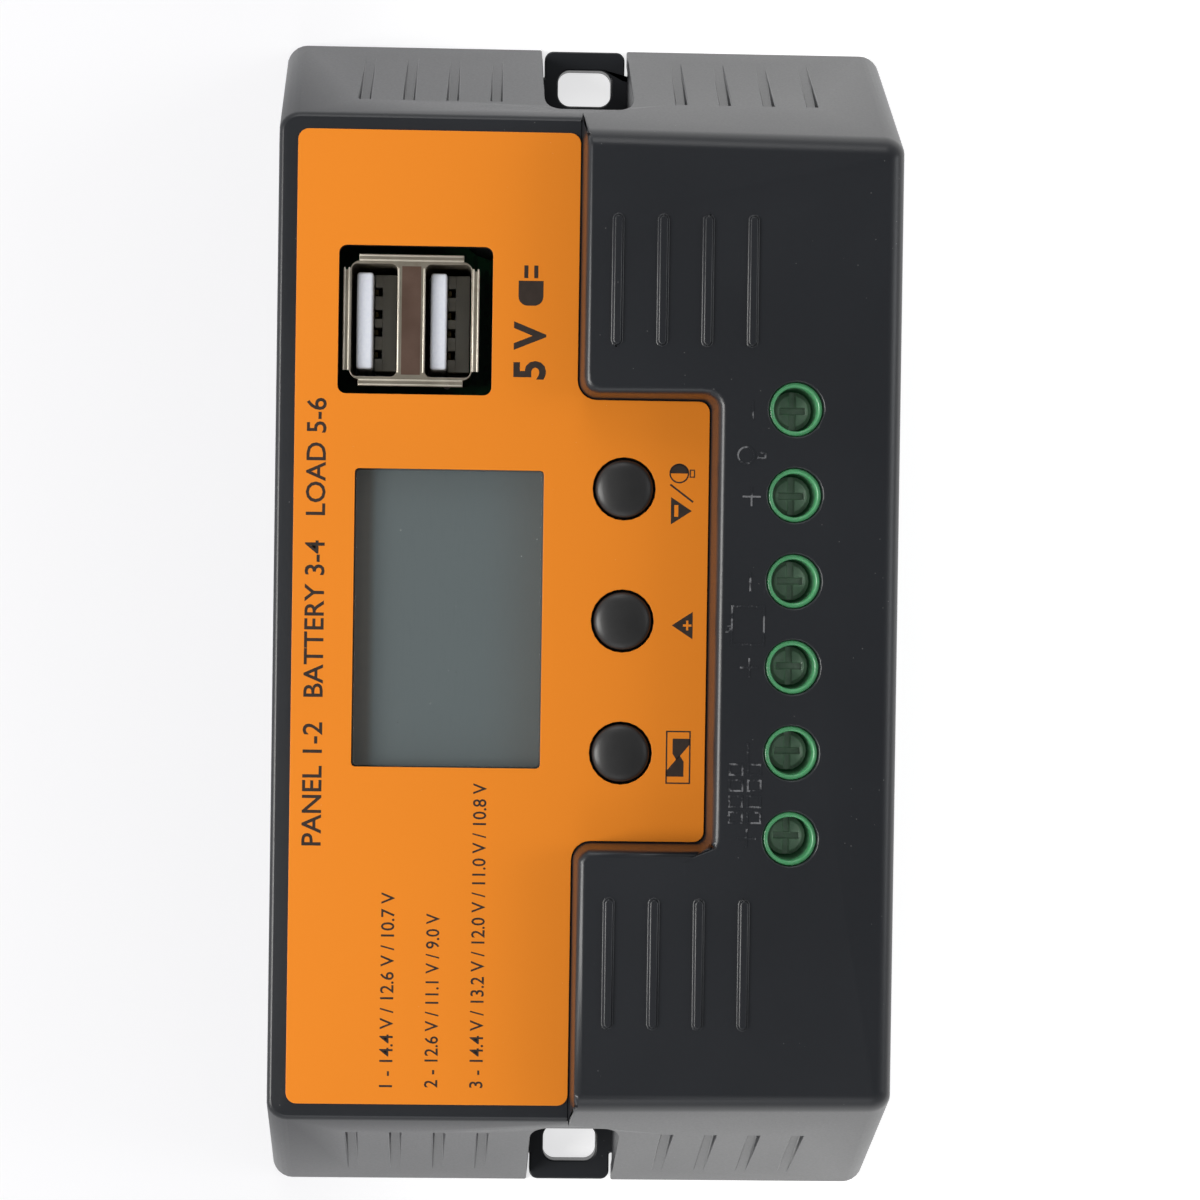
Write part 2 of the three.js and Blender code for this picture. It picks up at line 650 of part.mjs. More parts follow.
// The display board reaches from the switches to the far edge of the display glass.
const displayBoardEdges = [
  buttonY - SWITCH_SIDE / 2 - DISPLAY_BOARD_MARGIN_Y,
  windowY + WINDOW_WIDTH / 2 + GLASS_BORDER_Y + DISPLAY_BOARD_MARGIN_Y,
];

// A pin strip on the main board whose pins reach up to the display board.
function displayHeader() {
  const [pitch, side] = [HEADER_PITCH, HEADER_PIN_SIDE / 2];
  const y = displayBoardEdges[1] - HEADER_INSET;
  const half = (HEADER_PINS * pitch) / 2;
  const strip = box([-half, y - pitch / 2, onBoard], [half, y + pitch / 2, onBoard + pitch]);
  const rows = Array.from({ length: HEADER_PINS }, (_, i) => {
    const x = (i + 0.5) * pitch - half;
    return box(
      [x - side, y - side, onBoard + pitch / 2],
      [x + side, y + side, displayBoardUnder - REST_GAP],
    );
  });
  return join(strip, ...rows);
}

// ---------------------------------------------------------------- buttons
const plungerTop = displayBoardTop + REST_GAP + SWITCH_HEIGHT + PLUNGER_RISE;

function buttonCap(x) {
  const radius = BUTTON_DIAMETER / 2;
  const flange = BUTTON_FLANGE_DIAMETER / 2;
  const flangeTop = labelCeiling - FIT_GAP;
  const flangeUnder = flangeTop - BUTTON_FLANGE_THICKNESS;
  const crown = labelTop + BUTTON_RISE;
  const under = Math.min(plungerTop + REST_GAP, flangeUnder);
  const stem = radius - BUTTON_STEM_STEP;
  const [run, rimFall, edgeFall, domeFall] = BUTTON_EDGE;
  return turned(
    [
      [0, under],
      [stem, under],
      [stem, flangeUnder],
      [flange, flangeUnder],
      [flange, flangeTop],
      [radius, flangeTop],
      [radius, crown - rimFall],
      [radius - run, crown - edgeFall],
      [radius * 0.6, crown - domeFall],
      [0, crown],
    ],
    x,
    buttonY,
  );
}

function switchBody(x) {
  const half = SWITCH_SIDE / 2;
  const low = displayBoardTop + REST_GAP;
  const body = box([x - half, buttonY - half, low], [x + half, buttonY + half, low + SWITCH_HEIGHT]);
  const bore = PLUNGER_DIAMETER + 2 * RUNNING_GAP;
  const boreTop = low + SWITCH_HEIGHT + PAST;
  return cut(body, rod(bore, low + SWITCH_FLOOR, boreTop, x, buttonY, 16));
}

function switchPlunger(x) {
  const under = displayBoardTop + REST_GAP + SWITCH_FLOOR + BUTTON_TRAVEL + FIT_GAP;
  return rod(PLUNGER_DIAMETER, under, plungerTop, x, buttonY, 16);
}

// ---------------------------------------------------------------- USB sockets
const portYs = [USB_PORT_SPACING / 2, -USB_PORT_SPACING / 2].map((y) => usbY + y);

function usbShell() {
  const [halfX, halfY] = [USB_SHELL_LENGTH / 2, USB_SHELL_WIDTH / 2];
  const outline = roundedRectangle(2 * halfX, 2 * halfY, USB_CORNER_RADIUS, usbX, usbY);
  const body = plate(outline, onBoard, usbTop, 3);
  const length = USB_SHELL_LENGTH - 2 * USB_SHEET;
  const ports = portYs.map((y) =>
    plate(
      roundedRectangle(length, USB_PORT_WIDTH, USB_PORT_RADIUS, usbX, y),
      onBoard - PAST,
      usbTop + PAST,
    ),
  );
  const lipLow = usbTop - 2 * USB_SHEET;
  const lips = [
    box(
      [usbX - halfX - USB_LIP, usbY - halfY + USB_LIP_INSET, lipLow],
      [usbX + halfX + USB_LIP, usbY + halfY - USB_LIP_INSET, usbTop],
    ),
    box(
      [usbX - halfX + USB_LIP_INSET, usbY - halfY - USB_LIP, lipLow],
      [usbX + halfX - USB_LIP_INSET, usbY + halfY + USB_LIP, usbTop],
    ),
  ];
  return cut(join(body, ...lips), ...ports);
}

// The insulator of one port: a base that fills the shell and the tongue that stands on it.
function usbTongue(y) {
  const length = USB_SHELL_LENGTH - 2 * (USB_SHEET + RUNNING_GAP);
  const width = USB_PORT_WIDTH - 2 * RUNNING_GAP;
  const baseTop = onBoard + TONGUE_BASE_HEIGHT;
  const middle = y + TONGUE_OFFSET;
  return join(
    plate(roundedRectangle(length, width, USB_PORT_RADIUS, usbX, y), onBoard, baseTop),
    box(
      [usbX - TONGUE_LENGTH / 2, middle - TONGUE_THICKNESS / 2, baseTop - PAST],
      [usbX + TONGUE_LENGTH / 2, middle + TONGUE_THICKNESS / 2, usbTop - TONGUE_DEPTH],
    ),
  );
}

// ---------------------------------------------------------------- wire terminals
const legBack = blockBack - BLOCK_BACK_WALL;
const legFront = legBack - BAR_LEG;
const cageBack = legFront - 2 * FIT_GAP;

function terminalBlock() {
  const outline = new THREE.Shape();
  outline.moveTo(blockFront, blockUnder);
  outline.lineTo(blockBack, blockUnder);
  outline.lineTo(blockBack, blockTop);
  outline.lineTo(blockFront + BLOCK_SHOULDER_DEPTH, blockTop);
  outline.lineTo(blockFront + BLOCK_SHOULDER_DEPTH, blockTop - BLOCK_SHOULDER_DROP);
  outline.lineTo(blockFront, blockTop - BLOCK_SHOULDER_DROP);
  const geometry = new THREE.ExtrudeGeometry(outline, { depth: blockLength, bevelEnabled: false });
  geometry.rotateX(Math.PI / 2).rotateZ(Math.PI / 2).translate(-blockLength / 2, 0, 0);
  const tools = poleXs.flatMap((x) => {
    const side = pocketWidth / 2;
    const leg = BAR_WIDTH / 2 + RUNNING_GAP;
    return [
      box([x - side, blockFront - PAST, pocketFloor], [x + side, legBack + RUNNING_GAP, pocketTop]),
      box(
        [x - leg, legFront - RUNNING_GAP, blockUnder - PAST],
        [x + leg, legBack + RUNNING_GAP, pocketFloor + PAST],
      ),
      rod(TERMINAL_SCREW_DIAMETER + 2 * RUNNING_GAP, pocketTop - PAST, blockTop, x, poleY, 16),
      rod(WELL_DIAMETER, pocketTop + BLOCK_SHOULDER, blockTop + PAST, x, poleY),
    ];
  });
  return cut(solid(geometry), ...tools);
}

// The rising clamp: a square ring around the contact bar, threaded on the terminal screw.
function wireCage(x) {
  const side = cageWidth / 2;
  const inner = CAGE_INNER_WIDTH / 2;
  const front = cageBack - CAGE_LENGTH;
  return cut(
    box([x - side, front, cageUnder], [x + side, cageBack, cageTop]),
    box([x - inner, front - PAST, cageUnder + CAGE_WALL], [x + inner, cageBack + PAST, cageInnerTop]),
    rod(TERMINAL_SCREW_DIAMETER + 2 * RUNNING_GAP, cageInnerTop - PAST, cageTop + PAST, x, poleY, 16),
  );
}

// The fixed bar inside a clamp, and its leg through the main board.
function contactBar(x) {
  const half = BAR_WIDTH / 2;
  const front = cageBack - CAGE_LENGTH - BAR_OVERHANG;
  return join(
    box([x - half, front, barUnder], [x + half, legBack, barTop]),
    box(
      [x - half, legFront, boardUnder - BAR_OVERHANG],
      [x + half, legBack, barUnder + BAR_THICKNESS / 2],
    ),
  );
}

function terminalScrew(x) {
  const head = TERMINAL_HEAD_DIAMETER / 2;
  const shank = TERMINAL_SCREW_DIAMETER / 2;
  const top = headUnder + TERMINAL_HEAD_HEIGHT;
  const low = barTop + RUNNING_GAP;
  const body = turned(
    [
      [0, low],
      [shank - TERMINAL_EDGE, low],
      [shank, low + TERMINAL_EDGE],
      [shank, headUnder],
      [head, headUnder],
      [head, top - TERMINAL_EDGE],
      [head - TERMINAL_EDGE, top],
      [0, top],
    ],
    x,
    poleY,
    20,
  );
  const half = DRIVER_SLOT_WIDTH / 2;
  const reach = DRIVER_CROSS_LENGTH / 2;
  return cut(
    body,
    box([x - head, poleY - half, top - DRIVER_SLOT_DEPTH], [x + head, poleY + half, top + PAST]),
    box([x - half, poleY - reach, top - DRIVER_CROSS_DEPTH], [x + half, poleY + reach, top + PAST]),
  );
}

// ---------------------------------------------------------------- boards and power parts
function mainBoard() {
  const length = CASE_LENGTH - 2 * BOARD_END_INSET;
  const width = CASE_WIDTH - 2 * BOARD_SIDE_INSET;
  const outline = roundedRectangle(length, width, BOARD_CORNER_RADIUS);
  const board = plate(outline, boardUnder, BOARD_TOP, 2);
  const screwHoles = corners.map(([sx, sy]) =>
    rod(SCREW_SHANK_DIAMETER + 2 * FIT_GAP, 0, 2 * BOARD_TOP, sx * boardScrew[0], sy * boardScrew[1], 12),
  );
  const legSlots = poleXs.map((x) =>
    box(
      [x - BAR_WIDTH / 2 - RUNNING_GAP, legFront - RUNNING_GAP, 0],
      [x + BAR_WIDTH / 2 + RUNNING_GAP, legBack + RUNNING_GAP, 2 * BOARD_TOP],
    ),
  );
  return cut(board, ...screwHoles, ...legSlots);
}

function displayBoard() {
  const length = WINDOW_LENGTH + 2 * (GLASS_BORDER_X + DISPLAY_BOARD_MARGIN_X);
  const [low, high] = displayBoardEdges;
  const middle = (low + high) / 2;
  const shape = roundedRectangle(length, high - low, DISPLAY_BOARD_CORNER_RADIUS, 0, middle);
  return plate(shape, displayBoardUnder, displayBoardTop, 2);
}

const heatBarX = HEAT_BAR_END_INSET + HEAT_BAR_SIZE[0] / 2 - halfLength;
const heatBarY = blockBack + 2 * FIT_GAP + HEAT_BAR_SIZE[1] / 2;
const heatBarTop = onBoard + HEAT_BAR_SIZE[2];

// A flat aluminium bar on the board, with a shallow channel between the transistors.
function heatBar() {
  const [length, width] = HEAT_BAR_SIZE;
  const bar = box(
    [heatBarX - length / 2, heatBarY - width / 2, onBoard],
    [heatBarX + length / 2, heatBarY + width / 2, heatBarTop],
  );
  const channels = Array.from({ length: TRANSISTORS - 1 }, (_, i) => {
    const y = heatBarY + (i + 1 - TRANSISTORS / 2) * TRANSISTOR_PITCH;
    return box(
      [heatBarX - length, y - CHANNEL_WIDTH / 2, heatBarTop - CHANNEL_DEPTH],
      [heatBarX + length, y + CHANNEL_WIDTH / 2, heatBarTop + PAST],
    );
  });
  return cut(bar, ...channels);
}

// A power transistor lying on the heat bar: metal tab, moulded body, and three leads that reach past
// the bar and turn down to the board.
function powerTransistor(y) {
  const low = heatBarTop + REST_GAP;
  const [bodyLength, bodyWidth, bodyHeight] = TRANSISTOR_BODY;
  const [tabLength, tabWidth, tabHeight] = TRANSISTOR_TAB;
  const bodyEnd = heatBarX + HEAT_BAR_SIZE[0] / 2 + FIT_GAP;
  const bodyStart = bodyEnd - bodyLength;
  const leadEnd = bodyEnd + LEAD_REACH;
  const leadUnder = low + LEAD_HEIGHT;
  const leads = [-LEAD_PITCH, 0, LEAD_PITCH].flatMap((offset) => {
    const [near, far] = [y + offset - LEAD_WIDTH / 2, y + offset + LEAD_WIDTH / 2];
    return [
      box([bodyEnd - PAST, near, leadUnder], [leadEnd, far, leadUnder + LEAD_THICKNESS]),
      box([leadEnd - LEAD_THICKNESS, near, onBoard], [leadEnd, far, leadUnder + LEAD_THICKNESS / 2]),
    ];
  });
  return join(
    box([bodyStart, y - bodyWidth / 2, low], [bodyEnd, y + bodyWidth / 2, low + bodyHeight]),
    box(
      [bodyStart - tabLength, y - tabWidth / 2, low],
      [bodyStart + PAST, y + tabWidth / 2, low + tabHeight],
    ),
    ...leads,
  );
}

// A can capacitor, crimped round its foot.
function capacitor(x, y) {
  const radius = CAPACITOR_DIAMETER / 2;
  const top = labelCeiling - CAPACITOR_HEADROOM;
  const [crimp, crimpHeight] = CAPACITOR_CRIMP;
  return turned(
    [
      [0, onBoard],
      [radius - CAPACITOR_EDGE, onBoard],
      [radius, onBoard + CAPACITOR_EDGE],
      [radius - crimp, onBoard + crimpHeight],
      [radius, onBoard + crimpHeight + CAPACITOR_EDGE],
      [radius, top - CAPACITOR_EDGE],
      [radius - CAPACITOR_EDGE, top],
      [0, top],
    ],
    x,
    y,
    18,
  );
}

// A drum-core choke: two flanges with the winding between them.
function choke(x, y) {
  const flange = CHOKE_DIAMETER / 2;
  const winding = flange - CHOKE_WINDING_DEPTH;
  const top = onBoard + CHOKE_HEIGHT;
  return turned(
    [
      [0, onBoard],
      [flange, onBoard],
      [flange, onBoard + CHOKE_FLANGE],
      [winding, onBoard + CHOKE_FLANGE + FIT_GAP],
      [winding, top - CHOKE_FLANGE - FIT_GAP],
      [flange, top - CHOKE_FLANGE],
      [flange, top],
      [0, top],
    ],
    x,
    y,
    18,
  );
}

function microcontroller() {
  const half = CHIP_SIDE / 2;
  return box([-half, CHIP_Y - half, onBoard], [half, CHIP_Y + half, onBoard + CHIP_THICKNESS]);
}

// ---------------------------------------------------------------- assembly
const finishes = {
  blackPlastic: { color: 0x1c1d1f, roughness: 0.45, metalness: 0 },
  orangeLabel: { color: 0xe88426, roughness: 0.4, metalness: 0 },
  clearPlastic: { color: 0x9aa3a3, roughness: 0.1, metalness: 0 },
  displayGlass: { color: 0x5f6769, roughness: 0.15, metalness: 0 },
  whitePlastic: { color: 0xe9ebee, roughness: 0.4, metalness: 0 },
  buttonRubber: { color: 0x17181a, roughness: 0.5, metalness: 0 },
  greenPlastic: { color: 0x1f7a45, roughness: 0.35, metalness: 0 },
  greenBoard: { color: 0x0f5a35, roughness: 0.4, metalness: 0 },
  zincSteel: { color: 0xb4b6ae, roughness: 0.3, metalness: 1 },
  nickelSheet: { color: 0xc9c3b4, roughness: 0.25, metalness: 1 },
  tinnedCopper: { color: 0xc8b79a, roughness: 0.35, metalness: 1 },
  aluminium: { color: 0xb9bcc0, roughness: 0.4, metalness: 1 },
  chipPlastic: { color: 0x202224, roughness: 0.6, metalness: 0 },
  ferrite: { color: 0x3a3a3c, roughness: 0.7, metalness: 0 },
};

const controller = new THREE.Group();
controller.name = "charge_controller";

function add(name, made, finish) {
  const material = new THREE.MeshStandardMaterial(finishes[finish]);
  const mesh = new THREE.Mesh(geometryOf(made), material);
  mesh.name = name;
  controller.add(mesh);
}

add("top_cover", topCover(), "blackPlastic");
add("base_plate", basePlate(), "blackPlastic");
corners.forEach(([sx, sy], i) => {
  const x = sx * caseScrew[0];
  const y = sy * caseScrew[1];
  add(`case_screw_${i + 1}`, crossScrew(x, y, REST_GAP, CASE_SCREW_LENGTH - 2, -1), "zincSteel");
});
corners.forEach(([sx, sy], i) => {
  const x = sx * boardScrew[0];
  const y = sy * boardScrew[1];
  const face = onBoard + SCREW_HEAD_THICKNESS;
  add(`board_screw_${i + 1}`, crossScrew(x, y, face, boardUnder - PLATE_THICKNESS, 1), "zincSteel");
});

add("face_label", faceLabel(), "orangeLabel");
add("display_window", displayWindow(), "clearPlastic");
add("display_glass", displayLayer(glassUnder, glassTop), "displayGlass");
add("display_backlight", displayLayer(backlightUnder, glassUnder - REST_GAP), "whitePlastic");
add("display_board", displayBoard(), "greenBoard");
add("display_header", displayHeader(), "chipPlastic");

["minus", "plus", "mode"].forEach((name, i) => {
  add(`button_${name}`, buttonCap(buttonXs[i]), "buttonRubber");
  add(`switch_body_${name}`, switchBody(buttonXs[i]), "chipPlastic");
  add(`switch_plunger_${name}`, switchPlunger(buttonXs[i]), "whitePlastic");
});

add("usb_shell", usbShell(), "nickelSheet");
portYs.forEach((y, i) => add(`usb_tongue_${i + 1}`, usbTongue(y), "whitePlastic"));

add("terminal_block", terminalBlock(), "greenPlastic");
poleXs.forEach((x, i) => {
  add(`terminal_screw_${i + 1}`, terminalScrew(x), "zincSteel");
  add(`wire_cage_${i + 1}`, wireCage(x), "zincSteel");
  add(`contact_bar_${i + 1}`, contactBar(x), "tinnedCopper");
});

add("main_board", mainBoard(), "greenBoard");
add("heat_bar", heatBar(), "aluminium");
for (let i = 0; i < TRANSISTORS; i += 1) {
  const y = heatBarY + (i - (TRANSISTORS - 1) / 2) * TRANSISTOR_PITCH;
  add(`power_transistor_${i + 1}`, powerTransistor(y), "chipPlastic");
}
CAPACITOR_YS.forEach((y, i) => {
  add(`capacitor_${i + 1}`, capacitor(halfLength - CAPACITOR_END_INSET, y), "chipPlastic");
});
add("choke", choke(blockLength / 2 + CHOKE_GAP + CHOKE_DIAMETER / 2, CHOKE_Y), "ferrite");
add("microcontroller", microcontroller(), "chipPlastic");

export default controller;
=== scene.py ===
import json
import math

import bmesh
import bpy
from bpy.props import FloatProperty, FloatVectorProperty, IntProperty, PointerProperty, StringProperty
from mathutils import Euler, Matrix, Vector

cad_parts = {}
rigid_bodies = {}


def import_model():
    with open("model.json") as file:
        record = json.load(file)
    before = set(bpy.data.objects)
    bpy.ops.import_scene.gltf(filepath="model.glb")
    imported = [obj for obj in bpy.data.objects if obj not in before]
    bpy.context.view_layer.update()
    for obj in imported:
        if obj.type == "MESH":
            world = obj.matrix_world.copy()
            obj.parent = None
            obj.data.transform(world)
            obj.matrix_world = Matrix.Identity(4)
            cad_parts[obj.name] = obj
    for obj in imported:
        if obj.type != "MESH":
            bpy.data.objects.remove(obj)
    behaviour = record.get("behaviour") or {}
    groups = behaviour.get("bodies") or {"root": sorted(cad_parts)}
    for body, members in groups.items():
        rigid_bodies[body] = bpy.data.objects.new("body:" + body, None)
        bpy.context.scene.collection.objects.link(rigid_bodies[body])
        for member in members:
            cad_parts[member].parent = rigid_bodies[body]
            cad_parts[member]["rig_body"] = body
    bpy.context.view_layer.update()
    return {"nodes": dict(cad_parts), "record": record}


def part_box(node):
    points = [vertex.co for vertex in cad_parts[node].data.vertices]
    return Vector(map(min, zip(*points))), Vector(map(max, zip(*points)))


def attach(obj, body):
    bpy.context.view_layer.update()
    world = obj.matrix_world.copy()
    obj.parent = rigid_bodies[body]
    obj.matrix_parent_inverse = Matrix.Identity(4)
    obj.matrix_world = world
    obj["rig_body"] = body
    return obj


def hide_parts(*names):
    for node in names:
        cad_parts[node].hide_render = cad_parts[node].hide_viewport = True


bl_info = {
    "name": "Charge Controller Finish",
    "version": (1, 0, 0),
    "blender": (4, 5, 0),
    "location": "3D View > Sidebar > Charge Controller",
    "description": "Builds the finished pieces of a solar charge controller around its packed frame",
    "category": "Object",
}

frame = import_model()

MM = 0.001
WELD = 2e-6
CORNERS = ("right_far", "left_far", "left_near", "right_near")
BUTTONS = ("minus", "plus", "mode")
POLES = 6


def colour(red, green, blue):
    """A colour given in 0 to 255 steps as the scene's linear values."""
    steps = (c / 255 for c in (red, green, blue))
    return tuple(c / 12.92 if c <= 0.04045 else ((c + 0.055) / 1.055) ** 2.4 for c in steps)


def span(node):
    """Lowest corner, highest corner and middle of a CAD node, in metres."""
    low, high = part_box(node)
    return low, high, (low + high) / 2


# ------------------------------------------------------------------------------------------ settings
class CaseSettings(bpy.types.PropertyGroup):
    plastic: FloatVectorProperty(
        name="Case plastic", description="Colour of the black mouldings", subtype="COLOR",
        size=3, min=0, max=1, default=colour(33, 35, 39))
    edge: FloatProperty(
        name="Moulded edge", description="Radius of the moulded edges", unit="LENGTH",
        default=0.22 * MM, min=0, precision=5)
    step_edge: FloatProperty(
        name="Step edge", description="Radius of the edge where the raised deck drops to the label",
        unit="LENGTH", default=0.8 * MM, min=0, precision=5)
    fall: FloatProperty(
        name="Deck fall", description="Fall of the raised deck for each metre away from the terminal side",
        default=0.04)
    mark_height: FloatProperty(
        name="Mark height", description="How far the moulded marks stand out of the deck",
        unit="LENGTH", default=0.07 * MM, precision=6)


class LabelSettings(bpy.types.PropertyGroup):
    ground: FloatVectorProperty(
        name="Label colour", description="Ground colour of the face label", subtype="COLOR",
        size=3, min=0, max=1, default=colour(242, 138, 22))
    ink: FloatVectorProperty(
        name="Ink", description="Colour of the print", subtype="COLOR",
        size=3, min=0, max=1, default=colour(44, 34, 28))
    ink_thickness: FloatProperty(
        name="Ink thickness", description="Thickness of the printed layer", unit="LENGTH",
        default=0.012 * MM, precision=6)
    title: StringProperty(
        name="Title", description="Words along the long side of the label",
        default="PANEL 1-2   BATTERY 3-4   LOAD 5-6")


class DisplaySettings(bpy.types.PropertyGroup):
    unlit: FloatVectorProperty(
        name="Unlit display", description="Colour of the display when it is off", subtype="COLOR",
        size=3, min=0, max=1, default=colour(104, 114, 116))
    ledge: FloatProperty(
        name="Contact ledge", description="Width of the bare glass beside the polarising film",
        unit="LENGTH", default=4.6 * MM, precision=5)


class TerminalSettings(bpy.types.PropertyGroup):
    green: FloatVectorProperty(
        name="Block plastic", description="Colour of the terminal block", subtype="COLOR",
        size=3, min=0, max=1, default=colour(72, 138, 94))
    collar: FloatProperty(
        name="Collar wall", description="Wall of the collar around each screwdriver hole",
        unit="LENGTH", default=0.54 * MM, precision=5)
    steps: IntProperty(
        name="Steps", description="Steps round a turned piece", default=48, min=12)


class StageSettings(bpy.types.PropertyGroup):
    camera: FloatVectorProperty(
        name="Camera", description="Place of the camera", subtype="TRANSLATION", unit="LENGTH",
        size=3, default=(0.00711, 0.01298, 0.42702))
    turn: FloatVectorProperty(
        name="Camera turn", description="Turn of the camera", subtype="EULER", unit="ROTATION",
        size=3, default=tuple(math.radians(a) for a in (-0.7216, -2.1062, -89.1722)))
    lens: FloatProperty(
        name="Lens", description="Focal length of the camera", unit="CAMERA", default=108)
    floor: FloatVectorProperty(
        name="Floor", description="Colour of the floor", subtype="COLOR", size=3, min=0, max=1,
        default=colour(180, 180, 180))
    glow: FloatProperty(
        name="Floor glow", description="Light that the white floor gives off", default=0.85)


class ControllerSettings(bpy.types.PropertyGroup):
    case: PointerProperty(type=CaseSettings)
    label: PointerProperty(type=LabelSettings)
    display: PointerProperty(type=DisplaySettings)
    terminal: PointerProperty(type=TerminalSettings)
    stage: PointerProperty(type=StageSettings)


def settings():
    """The sizes and colours that the panel shows."""
    return bpy.context.scene.charge_controller


# ---------------------------------------------------------------------------------------- materials
class Wire:
    """An output of a shader node that can be used in sums."""

    def __init__(self, paint, socket):
        self.paint, self.socket = paint, socket

    def _maths(self, operation, first, second):
        return self.paint.node("ShaderNodeMath", {"operation": operation}, {0: first, 1: second})

    def __add__(self, other):
        return self._maths("ADD", self, other)

    def __radd__(self, other):
        return self._maths("ADD", other, self)

    def __sub__(self, other):
        return self._maths("SUBTRACT", self, other)

    def __rsub__(self, other):
        return self._maths("SUBTRACT", other, self)

    def __mul__(self, other):
        return self._maths("MULTIPLY", self, other)

    def __rmul__(self, other):
        return self._maths("MULTIPLY", other, self)

    def __gt__(self, other):
        return self._maths("GREATER_THAN", self, other)

    def __lt__(self, other):
        return self._maths("LESS_THAN", self, other)


class Paint:
    """A material being made: its nodes, its shader and the coordinates of the object."""

    def __init__(self, name, **fixed):
        self.material = bpy.data.materials.new(name)
        self.material.use_nodes = True
        self.tree = self.material.node_tree
        self.shader = self.tree.nodes["Principled BSDF"]
        for socket, value in fixed.items():
            if socket == "base_color":
                value = (*value, 1)
            self.shader.inputs[socket.replace("_", " ").title().replace("Ior", "IOR")].default_value = value
        self.place = self.node("ShaderNodeTexCoord", output="Object")

    def node(self, kind, options=None, inputs=None, output=0):
        """Adds a node, sets its options, then its values and links."""
        made = self.tree.nodes.new(kind)
        for option, value in (options or {}).items():
            if option == "stops":
                for element, (position, tone) in zip(made.color_ramp.elements, value):
                    element.position, element.color = position, tone
            else:
                setattr(made, option, value)
        for socket, value in (inputs or {}).items():
            if isinstance(value, Wire):
                self.tree.links.new(value.socket, made.inputs[socket])
            else:
                made.inputs[socket].default_value = value
        return Wire(self, made.outputs[output])

    def set(self, socket, value):
        """Feeds a socket of the shader."""
        self.tree.links.new(value.socket, self.shader.inputs[socket])

    def stretched(self, x, y, z):
        """Object coordinates with a pattern drawn out along an axis."""
        return self.node("ShaderNodeMapping", inputs={"Vector": self.place, "Scale": (x, y, z)})

    def noise(self, scale, detail=2, roughness=0.5, place=None):
        """A cloudy pattern."""
        return self.node("ShaderNodeTexNoise", inputs={
            "Vector": place or self.place, "Scale": scale, "Detail": detail, "Roughness": roughness})

    def cells(self, scale):
        """A pattern of scattered points."""
        return self.node("ShaderNodeTexVoronoi", inputs={"Vector": self.place, "Scale": scale},
                         output="Distance")

    def spread(self, value, low, high, to_low=0.0, to_high=1.0):
        """A soft change of a value between two limits."""
        return self.node("ShaderNodeMapRange", {"interpolation_type": "SMOOTHSTEP"}, {
            "Value": value, "From Min": low, "From Max": high, "To Min": to_low, "To Max": to_high})

    def axis(self, letter):
        """One of the object coordinates."""
        return self.node("ShaderNodeSeparateXYZ", inputs={0: self.place}, output=letter)

    def blend(self, factor, first, second):
        """A mix of two colours."""
        def tone(value):
            return value if isinstance(value, Wire) else (*value, 1)
        return self.node("ShaderNodeMix", {"data_type": "RGBA"},
                         {0: factor, 6: tone(first), 7: tone(second)}, 2)

    def bump(self, height, strength, distance):
        """Fine relief in the finish."""
        self.set("Normal", self.node("ShaderNodeBump", inputs={
            "Height": height, "Strength": strength, "Distance": distance}))


def shade(tone, share):
    """A colour made darker or lighter."""
    return tuple(min(1.0, c * share) for c in tone)


def case_plastic(paint_name="case_plastic", tone=None, gloss=0.25):
    """Black moulded plastic with a fine spark-eroded grain, faint scuffs and a little dust."""
    tone = tone or settings().case.plastic
    p = Paint(paint_name, ior=1.52)
    grain = p.noise(3200, 3, 0.6)
    cloud = p.noise(38, 3)
    scuff = p.spread(p.noise(260, 4, 0.7, p.stretched(1, 9, 3)), 0.66, 0.78)
    dust = p.cells(900) < 0.055
    rare = p.noise(160, 1) > 0.57
    base = p.blend(cloud, shade(tone, 0.82), shade(tone, 1.22))
    base = p.blend(scuff * 0.25, base, shade(tone, 2.4))
    base = p.blend(dust * rare * 0.35, base, colour(150, 150, 150))
    p.set("Base Color", base)
    p.set("Roughness", gloss + grain * 0.12 + scuff * 0.12 + cloud * 0.06)
    p.bump(grain + p.cells(2400) * 0.5, 0.12, 0.01 * MM)
    return p.material


def grey_patched_mark():
    """The raised marks on the deck, whose tops are grey in places."""
    p = Paint("grey_patched_mark", ior=1.52)
    grey_patch = p.spread(p.noise(700, 3, 0.7), 0.47, 0.6)
    p.set("Base Color", p.blend(grey_patch, colour(36, 38, 42), colour(104, 105, 108)))
    p.set("Roughness", 0.3 + grey_patch * 0.25)
    return p.material


def face_label():
    """Satin overlay film, printed orange from behind, with painted shade that darkens it towards the raised
    deck.
    """
    tone = settings().label.ground
    p = Paint("face_label", ior=1.45, coat_roughness=0.22)
    cloud = p.noise(24, 2)
    speck = p.cells(700) < 0.03
    # painted shade: the label turns darker towards the -Y side, where the step of the raised deck shades it
    painted_step_shade = p.spread(p.axis("Y"), -0.014, 0.034)
    base = p.blend(painted_step_shade, shade(tone, 0.88), tone)
    base = p.blend(p.spread(cloud, 0.35, 0.7, 0, 0.5), base, shade(tone, 0.93))
    base = p.blend(speck * (p.noise(90, 1) > 0.6) * 0.3, base, colour(255, 214, 160))
    p.set("Base Color", base)
    film = p.noise(5200, 2)
    p.set("Roughness", 0.42 + film * 0.12)
    p.set("Coat Weight", p.spread(p.noise(60, 2), 0.3, 0.7, 0.08, 0.2))
    p.bump(film, 0.09, 0.01 * MM)
    return p.material


def print_ink():
    """Screen-printed ink with slightly uneven cover."""
    tone = settings().label.ink
    p = Paint("print_ink", ior=1.45)
    cover = p.noise(1500, 3)
    p.set("Base Color", p.blend(cover, shade(tone, 0.8), shade(tone, 1.5)))
    p.set("Roughness", 0.42 + cover * 0.15)
    p.bump(cover, 0.08, 0.01 * MM)
    return p.material


